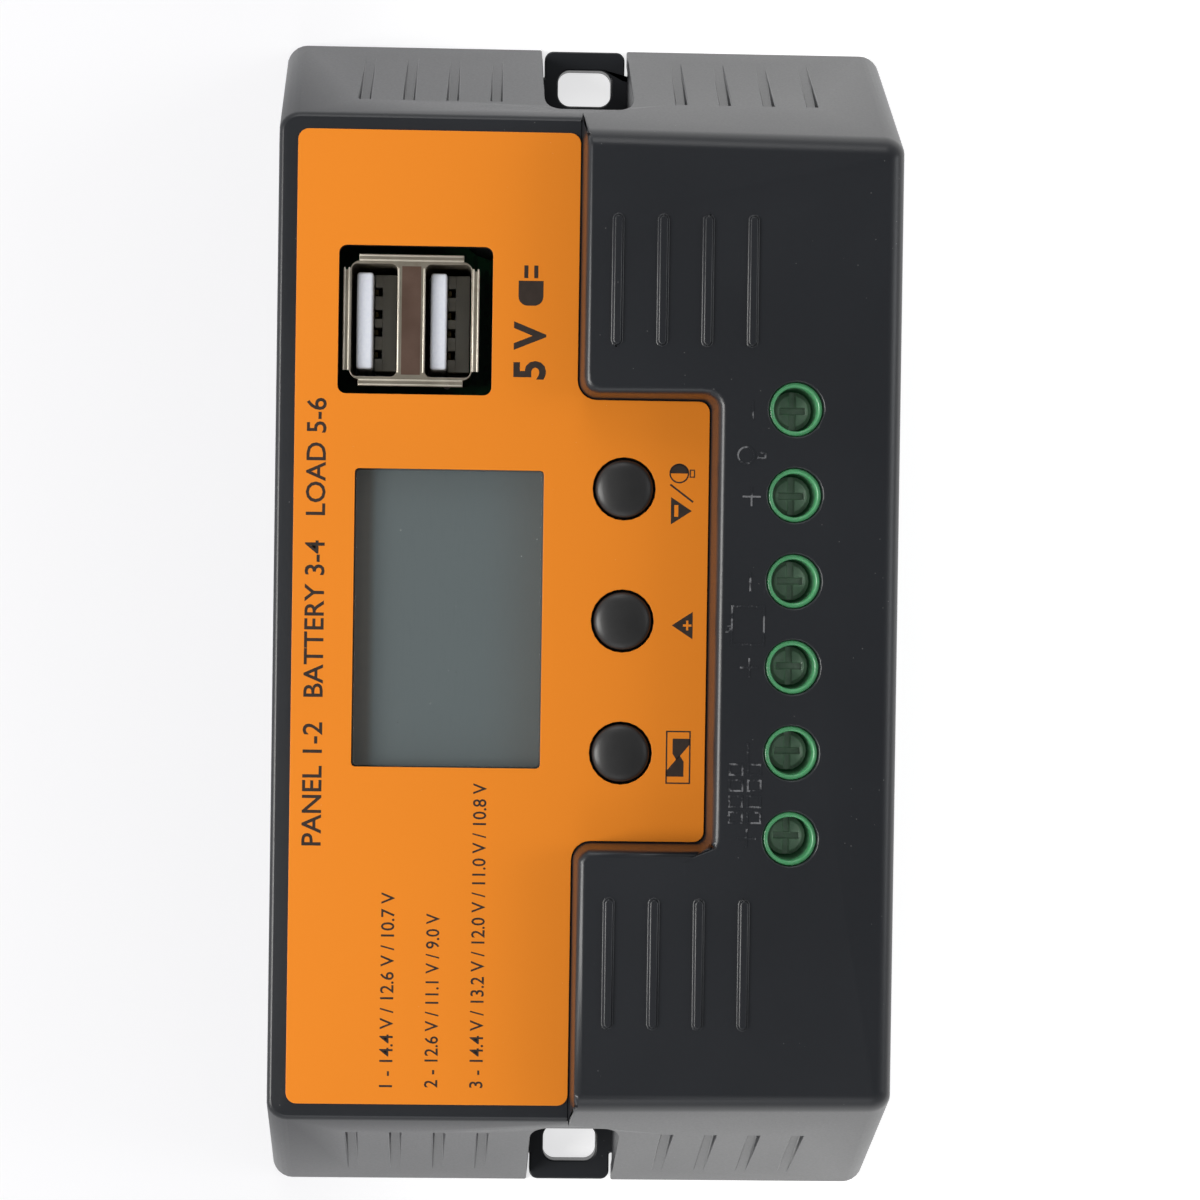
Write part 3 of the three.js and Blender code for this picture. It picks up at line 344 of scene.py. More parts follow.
def window_pane():
    """Clear acrylic with faint wiping marks."""
    p = Paint("display_window", base_color=colour(120, 126, 126), ior=1.49)
    wipe = p.spread(p.noise(420, 3, 0.6, p.stretched(1, 12, 1)), 0.5, 0.8)
    speck = (p.cells(420) < 0.05) * (p.noise(70, 1) > 0.6)
    p.set("Roughness", 0.07 + wipe * 0.12)
    p.set("Alpha", 0.1 + wipe * 0.03 + speck * 0.5)
    return p.material


def display_glass():
    """Unlit liquid crystal behind its polarising film, with the bare contact ledge on one side."""
    shown = settings().display
    _, far, _ = span("display_glass")
    p = Paint("display_glass", roughness=0.18, ior=1.5)
    ledge = p.spread(p.axis("Y"), far.y - shown.ledge - 0.0009, far.y - shown.ledge + 0.0002)
    film = p.noise(26, 2)
    base = p.blend(film, shade(shown.unlit, 0.9), shade(shown.unlit, 1.08))
    base = p.blend(p.spread(p.axis("Y"), 0.004, 0.012, 0.45, 0), base, colour(104, 100, 94))
    tracks = p.node("ShaderNodeTexWave", {"bands_direction": "X"},
                    {"Vector": p.place, "Scale": 190.0, "Distortion": 0.0})
    bare = p.blend(tracks * 0.12, colour(92, 84, 76), colour(78, 72, 66))
    base = p.blend(ledge, base, bare)
    speck = (p.cells(520) < 0.035) * (p.noise(110, 1) > 0.56)
    p.set("Base Color", p.blend(speck * 0.8, base, colour(190, 196, 196)))
    return p.material


def white_plastic():
    """White glass-filled moulding."""
    p = Paint("white_plastic", ior=1.5, subsurface_weight=0.06,
              subsurface_radius=(0.6 * MM, 0.6 * MM, 0.7 * MM))
    fleck = p.noise(2600, 3)
    p.set("Base Color", p.blend(fleck, colour(222, 227, 240), colour(240, 243, 250)))
    p.set("Roughness", 0.34 + fleck * 0.12)
    p.bump(fleck, 0.08, 0.01 * MM)
    return p.material


def circuit_board():
    """Green solder mask over copper tracks, with tinned pads."""
    p = Paint("circuit_board", ior=1.5)
    tracks = p.node("ShaderNodeTexBrick", {"offset": 0.37, "squash": 0.6}, {
        "Vector": p.place, "Scale": 190.0, "Mortar Size": 0.09, "Mortar Smooth": 0.2,
        "Color1": (1, 1, 1, 1), "Color2": (0.8, 0.8, 0.8, 1), "Mortar": (0, 0, 0, 1)})
    pads = p.cells(260) < 0.16
    weave = p.noise(1700, 2)
    mask = p.blend(weave, colour(12, 84, 50), colour(18, 98, 60))
    base = p.blend(tracks, colour(20, 112, 66), mask)
    base = p.blend(pads, base, colour(196, 198, 190))
    p.set("Base Color", base)
    p.set("Metallic", pads * 0.9)
    p.set("Roughness", 0.3 + weave * 0.12)
    p.bump(tracks * -0.6 + pads, 0.3, 0.04 * MM)
    return p.material


def component_black():
    """Matt moulding compound of small electronic parts."""
    p = Paint("component_black", ior=1.5)
    grain = p.noise(3600, 4, 0.7)
    p.set("Base Color", p.blend(grain, colour(26, 27, 29), colour(44, 45, 47)))
    p.set("Roughness", 0.5 + grain * 0.2)
    p.bump(grain, 0.25, 0.02 * MM)
    return p.material


def button_plastic():
    """Polished black cap plastic with a faint touch polish."""
    p = Paint("button_plastic", ior=1.5, coat_weight=0.12, coat_roughness=0.25)
    grain = p.noise(2600, 3)
    cloud = p.noise(240, 2)
    p.set("Base Color", p.blend(cloud, colour(33, 33, 34), colour(45, 45, 45)))
    p.set("Roughness", 0.3 + grain * 0.1 + cloud * 0.08)
    p.bump(grain, 0.07, 0.01 * MM)
    return p.material


def brushed(name, dark, light, gloss, stretch, rust=0.0, metal=1.0, glow=0.0):
    """Plated sheet or bar metal: drawn lines along one axis, cloudy plating and small stains. On the
    terminal screws the two tones are painted reflection of the green block and painted highlights, and glow
    gives them painted light.
    """
    # glow: painted light, the metal gives off light of its own colour though it is no lamp
    p = Paint(name, emission_strength=glow)
    lines = p.noise(2600, 3, 0.6, p.stretched(*stretch))
    cloud = p.noise(330, 3)
    base = p.blend(cloud, dark, light)
    base = p.blend(lines * 0.3, base, shade(dark, 0.7))
    if rust:
        stain = p.spread(p.noise(520, 4, 0.7), 0.56, 0.75, 0, rust)
        base = p.blend(stain, base, colour(112, 88, 62))
    p.set("Base Color", base)
    if glow:
        p.set("Emission Color", base)
    p.set("Metallic", metal - cloud * 0.08)
    p.set("Roughness", gloss + lines * 0.14 + cloud * 0.08)
    p.bump(lines, 0.14, 0.02 * MM)
    return p.material


def terminal_green(name="terminal_green", painted_light_lift=1.0):
    """Green, slightly translucent polyamide with a faint painted glow of its own colour; a lift above one
    makes a lighter copy that is painted light.
    """
    tone = shade(settings().terminal.green, painted_light_lift)
    # emission_strength and the emission colour give the plastic a painted glow, though it is no lamp
    p = Paint(name, ior=1.53, subsurface_weight=0.35, coat_weight=0.4, coat_roughness=0.15,
              subsurface_radius=(0.6 * MM, 2 * MM, MM), emission_strength=0.02)
    flow = p.noise(420, 3)
    grain = p.noise(2400, 3)
    base = p.blend(flow, shade(tone, 0.75), shade(tone, 1.25))
    p.set("Base Color", base)
    p.set("Emission Color", base)
    p.set("Roughness", 0.24 + grain * 0.16)
    p.bump(grain, 0.08, 0.02 * MM)
    return p.material


def ferrite():
    """Pressed ferrite and lacquered winding."""
    p = Paint("ferrite", ior=1.5)
    grain = p.noise(2200, 4, 0.75)
    turns = p.node("ShaderNodeTexWave", {"bands_direction": "Z"},
                   {"Vector": p.place, "Scale": 420.0, "Distortion": 0.4, "Detail": 1.0})
    p.set("Base Color", p.blend(grain, colour(44, 44, 47), colour(70, 69, 70)))
    p.set("Roughness", 0.55 + grain * 0.2)
    p.bump(turns * 0.6 + grain * 0.3, 0.3, 0.05 * MM)
    return p.material


FINISHES = {
    "case_plastic": case_plastic,
    "face_label": face_label,
    "print_ink": print_ink,
    "grey_patched_mark": grey_patched_mark,
    "display_window": window_pane,
    "display_glass": display_glass,
    "white_plastic": white_plastic,
    "circuit_board": circuit_board,
    "component_black": component_black,
    "button_plastic": button_plastic,
    "terminal_green": terminal_green,
    # The collars take a lighter copy of the block green: painted light, for the light that reaches their
    # tops
    "collar_green_painted_light": lambda: terminal_green("collar_green_painted_light", 1.3),
    "ferrite": ferrite,
    "screw_zinc": lambda: brushed("screw_zinc", colour(150, 150, 142), colour(196, 194, 182), 0.26,
                                  (1, 1, 9), 0.2),
    # The terminal screws are painted green and pale mint: painted reflection of the green block and painted
    # highlights, with a faint painted glow
    "terminal_zinc": lambda: brushed("terminal_zinc", colour(84, 128, 98), colour(240, 252, 242), 0.3,
                                     (1, 7, 1), 0.1, 0.6, 0.03),
    "usb_steel": lambda: brushed("usb_steel", colour(150, 142, 128), colour(196, 188, 172), 0.3,
                                 (9, 1, 1), 0.25, 0.9),
    "bright_steel": lambda: brushed("bright_steel", colour(206, 198, 180), colour(250, 246, 232), 0.25,
                                    (9, 1, 1), 0.12, 0.7),
    "contact_copper": lambda: brushed("contact_copper", colour(176, 150, 120), colour(214, 198, 172), 0.28,
                                      (1, 9, 1), 0.15),
    "heat_bar_aluminium": lambda: brushed("heat_bar_aluminium", colour(168, 171, 176),
                                          colour(206, 208, 212), 0.3, (1, 12, 1)),
    "rib_brown": lambda: brushed("rib_brown", colour(116, 92, 80), colour(142, 118, 106), 0.34,
                                 (12, 1, 1), 0.1),
    "port_plastic": lambda: case_plastic("port_plastic", colour(128, 128, 124), 0.5),
    # The port contacts take a darker copy of the contact metal: painted shade for the shadow deep in the
    # port; the stains are real stains
    "contact_painted_shade": lambda: brushed("contact_painted_shade", colour(60, 54, 40), colour(98, 88, 62), 0.34,
                                    (1, 1, 9), 0.3),
}
made_finishes = {}


def finish(name):
    """The named material, made when it is first asked for."""
    if name not in made_finishes:
        made_finishes[name] = FINISHES[name]()
    return made_finishes[name]


# ------------------------------------------------------------------------------------------- meshes
node_slots = {part["node"]: part["material_slot"] for part in frame["record"]["subparts"]}
EDGE_ANGLE = math.radians(36)


def new_piece(name, bm, body, finish_name, outward=False, smooth=EDGE_ANGLE):
    """A piece from a bmesh, with its finish, riding on a body."""
    if outward:
        bmesh.ops.remove_doubles(bm, verts=bm.verts, dist=WELD)
        bmesh.ops.recalc_face_normals(bm, faces=bm.faces)
    mesh = bpy.data.meshes.new(name)
    bm.to_mesh(mesh)
    bm.free()
    for attribute in ("custom_normal", "UVMap"):
        if attribute in mesh.attributes:
            mesh.attributes.remove(mesh.attributes[attribute])
    mesh.shade_smooth()
    mesh.set_sharp_from_angle(angle=smooth)
    piece = bpy.data.objects.new(name, mesh)
    bpy.context.scene.collection.objects.link(piece)
    mesh.materials.append(finish(finish_name))
    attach(piece, body)
    return piece


def rounded(piece, width, segments=2, limit="ANGLE"):
    """Rounds a piece's sharp edges and keeps its flat faces flat."""
    edges = piece.modifiers.new("edges", "BEVEL")
    edges.width = width
    edges.segments = segments
    edges.limit_method = limit
    edges.angle_limit = EDGE_ANGLE
    edges.use_clamp_overlap = False
    edges.harden_normals = True


def moulded(node, edge, segments=2, name=None, soft=None):
    """A CAD node's own shape with its faces merged and its edges rounded, shown in its place.

    The edges that soft picks out take the whole radius, and the others the share that it gives them.
    """
    bm = bmesh.new()
    bm.from_mesh(frame["nodes"][node].data)
    bmesh.ops.remove_doubles(bm, verts=bm.verts, dist=WELD)
    bmesh.ops.dissolve_limit(bm, angle_limit=math.radians(0.3), verts=bm.verts, edges=bm.edges)
    if soft:
        weight = bm.edges.layers.float.new("bevel_weight_edge")
        for line in bm.edges:
            if line.calc_face_angle(0) > EDGE_ANGLE:
                line[weight] = soft(line)
    slot_name = node_slots[node]
    piece = new_piece(name or f"{node}_shape", bm, frame["nodes"][node]["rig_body"], slot_name)
    rounded(piece, edge, segments, "WEIGHT" if soft else "ANGLE")
    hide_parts(node)
    return piece


def turned(bm, profile, centre, steps):
    """Adds a full turn of a closed profile of (radius, height) points about an upright axis."""
    made = [bm.verts.new((centre.x + r, centre.y, z)) for r, z in profile]
    edges = [bm.edges.new(pair) for pair in zip(made, made[1:])]
    edges.append(bm.edges.new((made[-1], made[0])))
    bmesh.ops.spin(bm, geom=made + edges, cent=(centre.x, centre.y, 0), axis=(0, 0, 1),
                   angle=2 * math.pi, steps=steps, use_merge=True, use_duplicate=False)


def block(bm, low, high):
    """Adds a box between two corners and returns its corners' vertices."""
    low, high = Vector(low), Vector(high)
    place = Matrix.Translation((low + high) / 2) @ Matrix.Diagonal((*(high - low), 1))
    return bmesh.ops.create_cube(bm, size=1, matrix=place)["verts"]


# -------------------------------------------------------------------------------- flat printed shapes
def flat_rectangle(bm, x0, x1, y0, y1, turn=0.0):
    """Adds a flat rectangle and returns its vertices."""
    place = (Matrix.Translation(((x0 + x1) / 2, (y0 + y1) / 2, 0)) @ Matrix.Rotation(turn, 4, "Z")
             @ Matrix.Diagonal(((x1 - x0) / 2, (y1 - y0) / 2, 1, 1)))
    return bmesh.ops.create_grid(bm, x_segments=1, y_segments=1, size=1, matrix=place)["verts"]


def flat_frame(bm, x0, x1, y0, y1, line):
    """A rectangle drawn as a line."""
    for a in ((x0, x1, y0, y0 + line), (x0, x1, y1 - line, y1),
              (x0, x0 + line, y0 + line, y1 - line), (x1 - line, x1, y0 + line, y1 - line)):
        flat_rectangle(bm, *a)


def flat_disc(bm, x, y, radius, sides=36, turn=0.0, squash=1.0):
    """Adds a filled circle, or a polygon with few sides, and returns its vertices."""
    place = (Matrix.Translation((x, y, 0)) @ Matrix.Rotation(turn, 4, "Z")
             @ Matrix.Diagonal((1, squash, 1, 1)))
    return bmesh.ops.create_circle(bm, cap_ends=True, segments=sides, radius=radius, matrix=place)["verts"]


def flat_ring(bm, x, y, radius, line, sides=36):
    """Adds a circle drawn as a line."""
    outer = bmesh.ops.create_circle(bm, cap_ends=False, segments=sides, radius=radius,
                                    matrix=Matrix.Translation((x, y, 0)))["verts"]
    inner = bmesh.ops.create_circle(bm, cap_ends=False, segments=sides, radius=radius - line,
                                    matrix=Matrix.Translation((x, y, 0)))["verts"]
    loops = {edge for vert in outer + inner for edge in vert.link_edges}
    bmesh.ops.bridge_loops(bm, edges=list(loops))


def keep_beyond(bm, verts, point, direction):
    """Cuts away the part of a flat shape that lies behind a line."""
    faces = {face for vert in verts for face in vert.link_faces}
    edges = {edge for face in faces for edge in face.edges}
    left = bmesh.ops.bisect_plane(bm, geom=[*verts, *edges, *faces], plane_co=(*point, 0),
                                  plane_no=(*direction, 0), clear_inner=True)["geom"]
    return [vert for vert in left if isinstance(vert, bmesh.types.BMVert)]


def lettering(bm, words, x0, x1, y0, y1, weight=0.0):
    """Adds words set between two lines, reading along the case."""
    curve = bpy.data.curves.new("lettering", "FONT")
    curve.body = words
    curve.offset = weight
    curve.resolution_u = 3
    holder = bpy.data.objects.new("lettering", curve)
    mesh = bpy.data.meshes.new_from_object(holder)
    xs = [v.co.x for v in mesh.vertices]
    ys = [v.co.y for v in mesh.vertices]
    low = Vector((min(xs), min(ys), 0))
    size = Vector((max(xs), max(ys), 0)) - low
    mesh.transform(Matrix.Translation((x0, y0, 0)) @ Matrix.Diagonal(
        ((x1 - x0) / size.x, (y1 - y0) / size.y, 1, 1)) @ Matrix.Translation(-low))
    bm.from_mesh(mesh)
    bpy.data.meshes.remove(mesh)
    bpy.data.objects.remove(holder)
    bpy.data.curves.remove(curve)


def raised(bm, thickness):
    """Gives every flat face a thickness upwards."""
    bmesh.ops.remove_doubles(bm, verts=bm.verts, dist=WELD / 4)
    for face in bm.faces:
        face.normal_update()
    bmesh.ops.reverse_faces(bm, faces=[f for f in bm.faces if f.normal.z > 0])
    top = bmesh.ops.extrude_face_region(bm, geom=bm.faces[:], use_keep_orig=True)["geom"]
    bmesh.ops.translate(bm, verts=[v for v in top if isinstance(v, bmesh.types.BMVert)],
                        vec=(0, 0, thickness))
    bmesh.ops.recalc_face_normals(bm, faces=bm.faces)


def scaled(bm, place):
    """Flat shapes are drawn in millimetres, then take their size and place here."""
    bmesh.ops.transform(bm, matrix=place @ Matrix.Scale(MM, 4), verts=bm.verts)


# ---------------------------------------------------------------------------------------- operators
class Builder:
    """What the operators share."""

    bl_options = {"REGISTER", "UNDO"}

    def execute(self, context):
        self.build(context.scene.charge_controller)
        return {"FINISHED"}


class CONTROLLER_OT_case(Builder, bpy.types.Operator):
    """Build the cover and the base plate"""

    bl_idname = "controller.case"
    bl_label = "Case"

    def build(self, sizes):
        fine = sizes.case.edge / sizes.case.step_edge
        _, deck, _ = span("top_cover")
        bay_foot, step_foot, above_bay = -15.5 * MM, 1.5 * MM, -1.5 * MM
        bay_half, rim_depth = 28 * MM, 1.9 * MM

        def share(line):
            """The whole radius on the rim of the step, and the fine one elsewhere."""
            middle = (line.verts[0].co + line.verts[1].co) / 2
            at_step = bay_foot < middle.y < step_foot and line.is_convex
            in_bay = abs(middle.x) < bay_half or middle.y > above_bay
            rim = min(v.co.z for v in line.verts) > deck.z - rim_depth
            return 1.0 if at_step and in_bay and rim else fine
        moulded("top_cover", sizes.case.step_edge, 3, soft=share)
        moulded("base_plate", sizes.case.edge)


class CONTROLLER_OT_deck_marks(Builder, bpy.types.Operator):
    """Build the small moulded marks beside the terminals"""

    bl_idname = "controller.deck_marks"
    bl_label = "Deck marks"

    def build(self, sizes):
        line, row, reach = 0.2, -17.95, 1.0
        minus_marks, plus_marks = (23.3, 4.6, -14.1), (13.9, -4.8, -23.5)
        bm = bmesh.new()
        for x in sorted(minus_marks + plus_marks, reverse=True):
            flat_rectangle(bm, x - 1.05, x + 1.05, row - line / 2, row + line / 2)
        for x in plus_marks:
            flat_rectangle(bm, x - line / 2, x + line / 2, row - reach, row - line / 2)
            flat_rectangle(bm, x - line / 2, x + line / 2, row + line / 2, row + reach)
        flat_ring(bm, 18.4, -17.3, 1.0, line)
        flat_frame(bm, 18.0, 18.8, -19.5, -18.5, line)
        flat_frame(bm, -2.4, 2.0, -19.6, -15.9, line)
        flat_frame(bm, -1.0, -0.2, -15.9, -15.3, line)
        for i in range(4):
            x = -21.9 + 1.75 * i
            flat_frame(bm, x, x + 1.35, -17.5, -15.9, line)
            flat_frame(bm, x, x + 1.35, -19.5, -17.9, line)
        raised(bm, sizes.case.mark_height * 2 / MM)
        low, high, _ = span("top_cover")
        fall = Matrix.Identity(4)
        fall[2][1] = -sizes.case.fall
        height = high.z + sizes.case.fall * low.y - sizes.case.mark_height + 0.07 * MM
        scaled(bm, Matrix.Translation((0, 0, height)) @ fall)
        new_piece("deck_marks", bm, "case", "grey_patched_mark")


class CONTROLLER_OT_screws(Builder, bpy.types.Operator):
    """Build the screws of the case and of the main board"""

    bl_idname = "controller.screws"
    bl_label = "Screws"

    def build(self, sizes):
        for i, corner in enumerate(CORNERS):
            moulded(f"case_screw_{i + 1}", 0.08 * MM, name=f"case_screw_{corner}")
            moulded(f"board_screw_{i + 1}", 0.08 * MM, name=f"board_screw_{corner}")


class CONTROLLER_OT_label(Builder, bpy.types.Operator):
    """Build the face label and its print"""

    bl_idname = "controller.label"
    bl_label = "Face label"

    def build(self, sizes):
        moulded("face_label", 0.05 * MM)
        _, high, _ = span("face_label")
        bm = bmesh.new()
        lettering(bm, sizes.label.title, -25.3, 24.2, 28.75, 30.95, 0.01)
        self.legend(bm)
        self.button_marks(bm)
        self.plug(bm)
        raised(bm, sizes.label.ink_thickness / MM)
        scaled(bm, Matrix.Translation((0, 0, high.z + 0.001 * MM)))
        new_piece("label_print", bm, "case", "print_ink")
        bm = bmesh.new()
        self.signs(bm)
        raised(bm, sizes.label.ink_thickness / MM)
        scaled(bm, Matrix.Translation((0, 0, high.z + 0.01 * MM)))
        new_piece("label_signs", bm, "case", "face_label")

    def legend(self, bm):
        """Three numbered lines of charging voltages."""
        for words, end, y in (("1 - 14.4 V / 12.6 V / 10.7 V", -30.4, 20.5),
                              ("2 - 12.6 V / 11.1 V / 9.0 V", -32.7, 15.5),
                              ("3 - 14.4 V / 13.2 V / 12.0 V / 11.0 V / 10.8 V", -18.2, 10.5)):
            lettering(bm, words, -52, end, y, y + 1.5, 0.008)

    def button_marks(self, bm):
        """The marks beside the three buttons."""
        bulb = (16.45, -10.35)
        flat_ring(bm, *bulb, 1.1, 0.16)
        half = flat_disc(bm, *bulb, 1.0)
        keep_beyond(bm, half, bulb, (1, 0))
        flat_frame(bm, bulb[0] - 0.45, bulb[0] + 0.45, -12.1, -11.5, 0.13)
        flat_rectangle(bm, 14.25 - 1.6, 14.25 + 1.6, -10.75, -10.55, math.radians(53))
        for x, y, turn in ((12.3, -10.25, 180), (-0.4, -11.3, 0)):
            flat_disc(bm, x, y, 1.75, 3, math.radians(turn), 0.88)
        flat_frame(bm, -18.0, -12.1, -12.05, -9.3, 0.16)
        x, y = -15.08, -10.67
        for turn in (1, -1):
            def placed(along, across):
                """A point of one half of the arrow, which the other half repeats turned round."""
                return x + turn * along, y + turn * across
            (x0, y0), (x1, y1) = placed(-0.27, -1.28), placed(2.11, 0.62)
            half = flat_rectangle(bm, *sorted((x0, x1)), *sorted((y0, y1)))
            half = keep_beyond(bm, half, placed(1.48, -1.28), (turn * 1.45, turn * 1.75))
            keep_beyond(bm, half, placed(-0.27, 0.17), (turn * 0.45, turn * -0.7))

    def signs(self, bm):
        """The signs left open in the two triangles."""
        minus = 12.3
        flat_rectangle(bm, minus - 0.65, minus + 0.65, -10.3, -9.85)
        plus, half_line = -0.4, 0.125
        flat_rectangle(bm, plus - 0.55, plus + 0.55, -11.6, -11.35)
        flat_rectangle(bm, plus - half_line, plus + half_line, -11.95, -11.6)
        flat_rectangle(bm, plus - half_line, plus + half_line, -11.35, -11.0)

    def plug(self, bm):
        """A plain plug with two prongs, and the port's voltage."""
        body = flat_rectangle(bm, 34.75, 37.5, 5.0, 7.75)
        corners = [v for v in body if v.co.x < 35]
        bmesh.ops.bevel(bm, geom=corners, offset=1.0, offset_type="OFFSET", affect="VERTICES",
                        segments=5, profile=0.5, material=-1)
        for y in (5.6, 6.7):
            flat_rectangle(bm, 37.8, 39.2, y, y + 0.45)
        lettering(bm, "5 V", 26.6, 33.0, 4.6, 8.2, 0.03)


class CONTROLLER_OT_display(Builder, bpy.types.Operator):
    """Build the display window and the display behind it"""

    bl_idname = "controller.display"
    bl_label = "Display"

    def build(self, sizes):
        moulded("display_window", 0.12 * MM, 2)
        moulded("display_glass", 0.15 * MM, 2)
        moulded("display_backlight", 0.2 * MM, 2)
        moulded("display_board", 0.08 * MM, 1)
        moulded("display_header", 0.05 * MM, 1)


class CONTROLLER_OT_buttons(Builder, bpy.types.Operator):
    """Build the three buttons and the switches under them"""

    bl_idname = "controller.buttons"
    bl_label = "Buttons"

    def build(self, sizes):
        for name in BUTTONS:
            low, high, middle = span(f"button_{name}")
            radius, flange = 3.2 * MM, (high.x - low.x) / 2
            top = high.z
            bm = bmesh.new()
            turned(bm, [
                (0, low.z), (radius - 0.8 * MM, low.z), (radius - 0.8 * MM, top - 4.15 * MM),
                (flange, top - 4.15 * MM), (flange, top - 3.35 * MM), (radius, top - 3.35 * MM),
                (radius, top - 0.85 * MM), (radius - 0.05 * MM, top - 0.66 * MM),
                (radius - 0.18 * MM, top - 0.5 * MM), (radius - 0.42 * MM, top - 0.36 * MM),
                (radius - 0.85 * MM, top - 0.22 * MM), (radius - 1.5 * MM, top - 0.1 * MM),
                (radius - 2.4 * MM, top - 0.02 * MM), (0, top),
            ], middle, sizes.terminal.steps)
            piece = new_piece(f"button_{name}_cap", bm, f"{name}_button", "button_plastic",
                              outward=True, smooth=math.radians(50))
            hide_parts(f"button_{name}")
            moulded(f"switch_body_{name}", 0.15 * MM)
            moulded(f"switch_plunger_{name}", 0.1 * MM)


class CONTROLLER_OT_usb(Builder, bpy.types.Operator):
    """Build the double USB socket"""

    bl_idname = "controller.usb"
    bl_label = "USB sockets"

    def build(self, sizes):
        moulded("usb_shell", 0.05 * MM, 2)
        _, high, middle = span("usb_shell")
        rib_half = Vector((6.0, 1.05, 0)) * MM
        bm = bmesh.new()
        block(bm, middle.xy.to_3d() - rib_half + Vector((0, 0, high.z - 0.02 * MM)),
              middle.xy.to_3d() + rib_half + Vector((0, 0, high.z + 0.03 * MM)))
        new_piece("usb_rib_face", bm, "case", "rib_brown")
        self.folded_edges(middle, high.z)
        for i, side in ((1, 1), (2, -1)):
            moulded(f"usb_tongue_{i}", 0.3 * MM, 3)
            _, _, place = span(f"usb_tongue_{i}")
            self.port_inside(i, place.x / MM, (middle.y + side * 4.1 * MM) / MM)

    def port_inside(self, number, x, y):
        """The carrier behind a tongue and its four contacts, in millimetres."""
        spots = [x + offset for offset in (-3.5, -1.0, 1.0, 3.5)]
        half, face, foot = 5.4, y + 0.15, 15
        bm = bmesh.new()
        block(bm, (x - half, y - 2.4, foot), (x + half, face - 0.95, 22))
        starts = [x - half, *(spot + 0.5 for spot in spots)]
        ends = [*(spot - 0.5 for spot in spots), x + half]
        for start, end in zip(starts, ends):
            block(bm, (start, face - 1.1, foot), (end, face - 0.12, 21.9))
        self.eased(bm, 0.1, 2)
        new_piece(f"usb_carrier_{number}", bm, "case", "port_plastic")
        bm = bmesh.new()
        for spot in spots:
            block(bm, (spot - 0.35, face - 0.5, 17), (spot + 0.35, face - 0.02, 21))
        self.eased(bm, 0.12, 2)
        # The contacts are given the darker metal as painted shade.
        new_piece(f"usb_contacts_{number}", bm, "case", "contact_painted_shade")

    def eased(self, bm, radius, segments):
        """Rounds the edges of blocks drawn in millimetres, then gives them their size."""
        bmesh.ops.bevel(bm, geom=bm.edges[:], offset=radius, offset_type="OFFSET", affect="EDGES",
                        segments=segments, profile=0.5, material=-1)
        scaled(bm, Matrix.Identity(4))

    def folded_edges(self, middle, mouth):
        """The folded edges of the sheet, which stand a little above the mouth."""
        bead = 0.2
        bm = bmesh.new()
        runs = [(-5.8 + (0.2 if abs(y) > 5 else 0), 5.8, y, y + bead)
                for y in (-7.5, -6.98, -1.5, 1.3, 6.78, 7.3)]
        runs += [(x, x + bead, -5.75, 5.75) for x in (-7.25, -6.73, 6.53, 7.05)]
        for x0, x1, y0, y1 in runs:
            block(bm, (x0, y0, -0.1), (x1, y1, 0.09))
        self.eased(bm, 0.07, 3)
        bmesh.ops.translate(bm, verts=bm.verts, vec=(middle.x, middle.y, mouth))
        new_piece("usb_folded_edges", bm, "case", "bright_steel", smooth=math.radians(80))


class CONTROLLER_OT_terminals(Builder, bpy.types.Operator):
    """Build the terminal block, its collars, screws, clamps and contact bars"""

    bl_idname = "controller.terminals"
    bl_label = "Terminals"

    def build(self, sizes):
        moulded("terminal_block", 0.2 * MM)
        _, top, _ = span("terminal_block")
        low, high, _ = span("top_cover")
        bm = bmesh.new()
        for i in range(POLES):
            _, _, middle = span(f"terminal_screw_{i + 1}")
            rim = high.z - sizes.case.fall * (middle.y - low.y) - 0.35 * MM
            inner = 2.4 * MM
            outer = inner + sizes.terminal.collar
            turned(bm, [
                (inner, top.z + 0.01 * MM), (outer, top.z + 0.01 * MM), (outer, rim - 0.15 * MM),
                (outer - 0.1 * MM, rim), (inner + 0.12 * MM, rim), (inner, rim - 0.15 * MM),
            ], middle, sizes.terminal.steps)
        # The collars are given the lighter copy of the block green as painted light.
        new_piece("terminal_collars", bm, "case", "collar_green_painted_light", outward=True,
                  smooth=math.radians(60))
        for i in range(1, POLES + 1):
            moulded(f"terminal_screw_{i}", 0.1 * MM)
            moulded(f"wire_cage_{i}", 0.25 * MM)
            moulded(f"contact_bar_{i}", 0.15 * MM)


class CONTROLLER_OT_electronics(Builder, bpy.types.Operator):
    """Build the main board and the parts on it"""

    bl_idname = "controller.electronics"
    bl_label = "Electronics"

    def build(self, sizes):
        moulded("main_board", 0.08 * MM, 1)
        moulded("heat_bar", 0.25 * MM)
        for i in range(1, 5):
            moulded(f"power_transistor_{i}", 0.12 * MM)
        for i in (1, 2):
            moulded(f"capacitor_{i}", 0.15 * MM)
        moulded("choke", 0.2 * MM)
        moulded("microcontroller", 0.15 * MM)


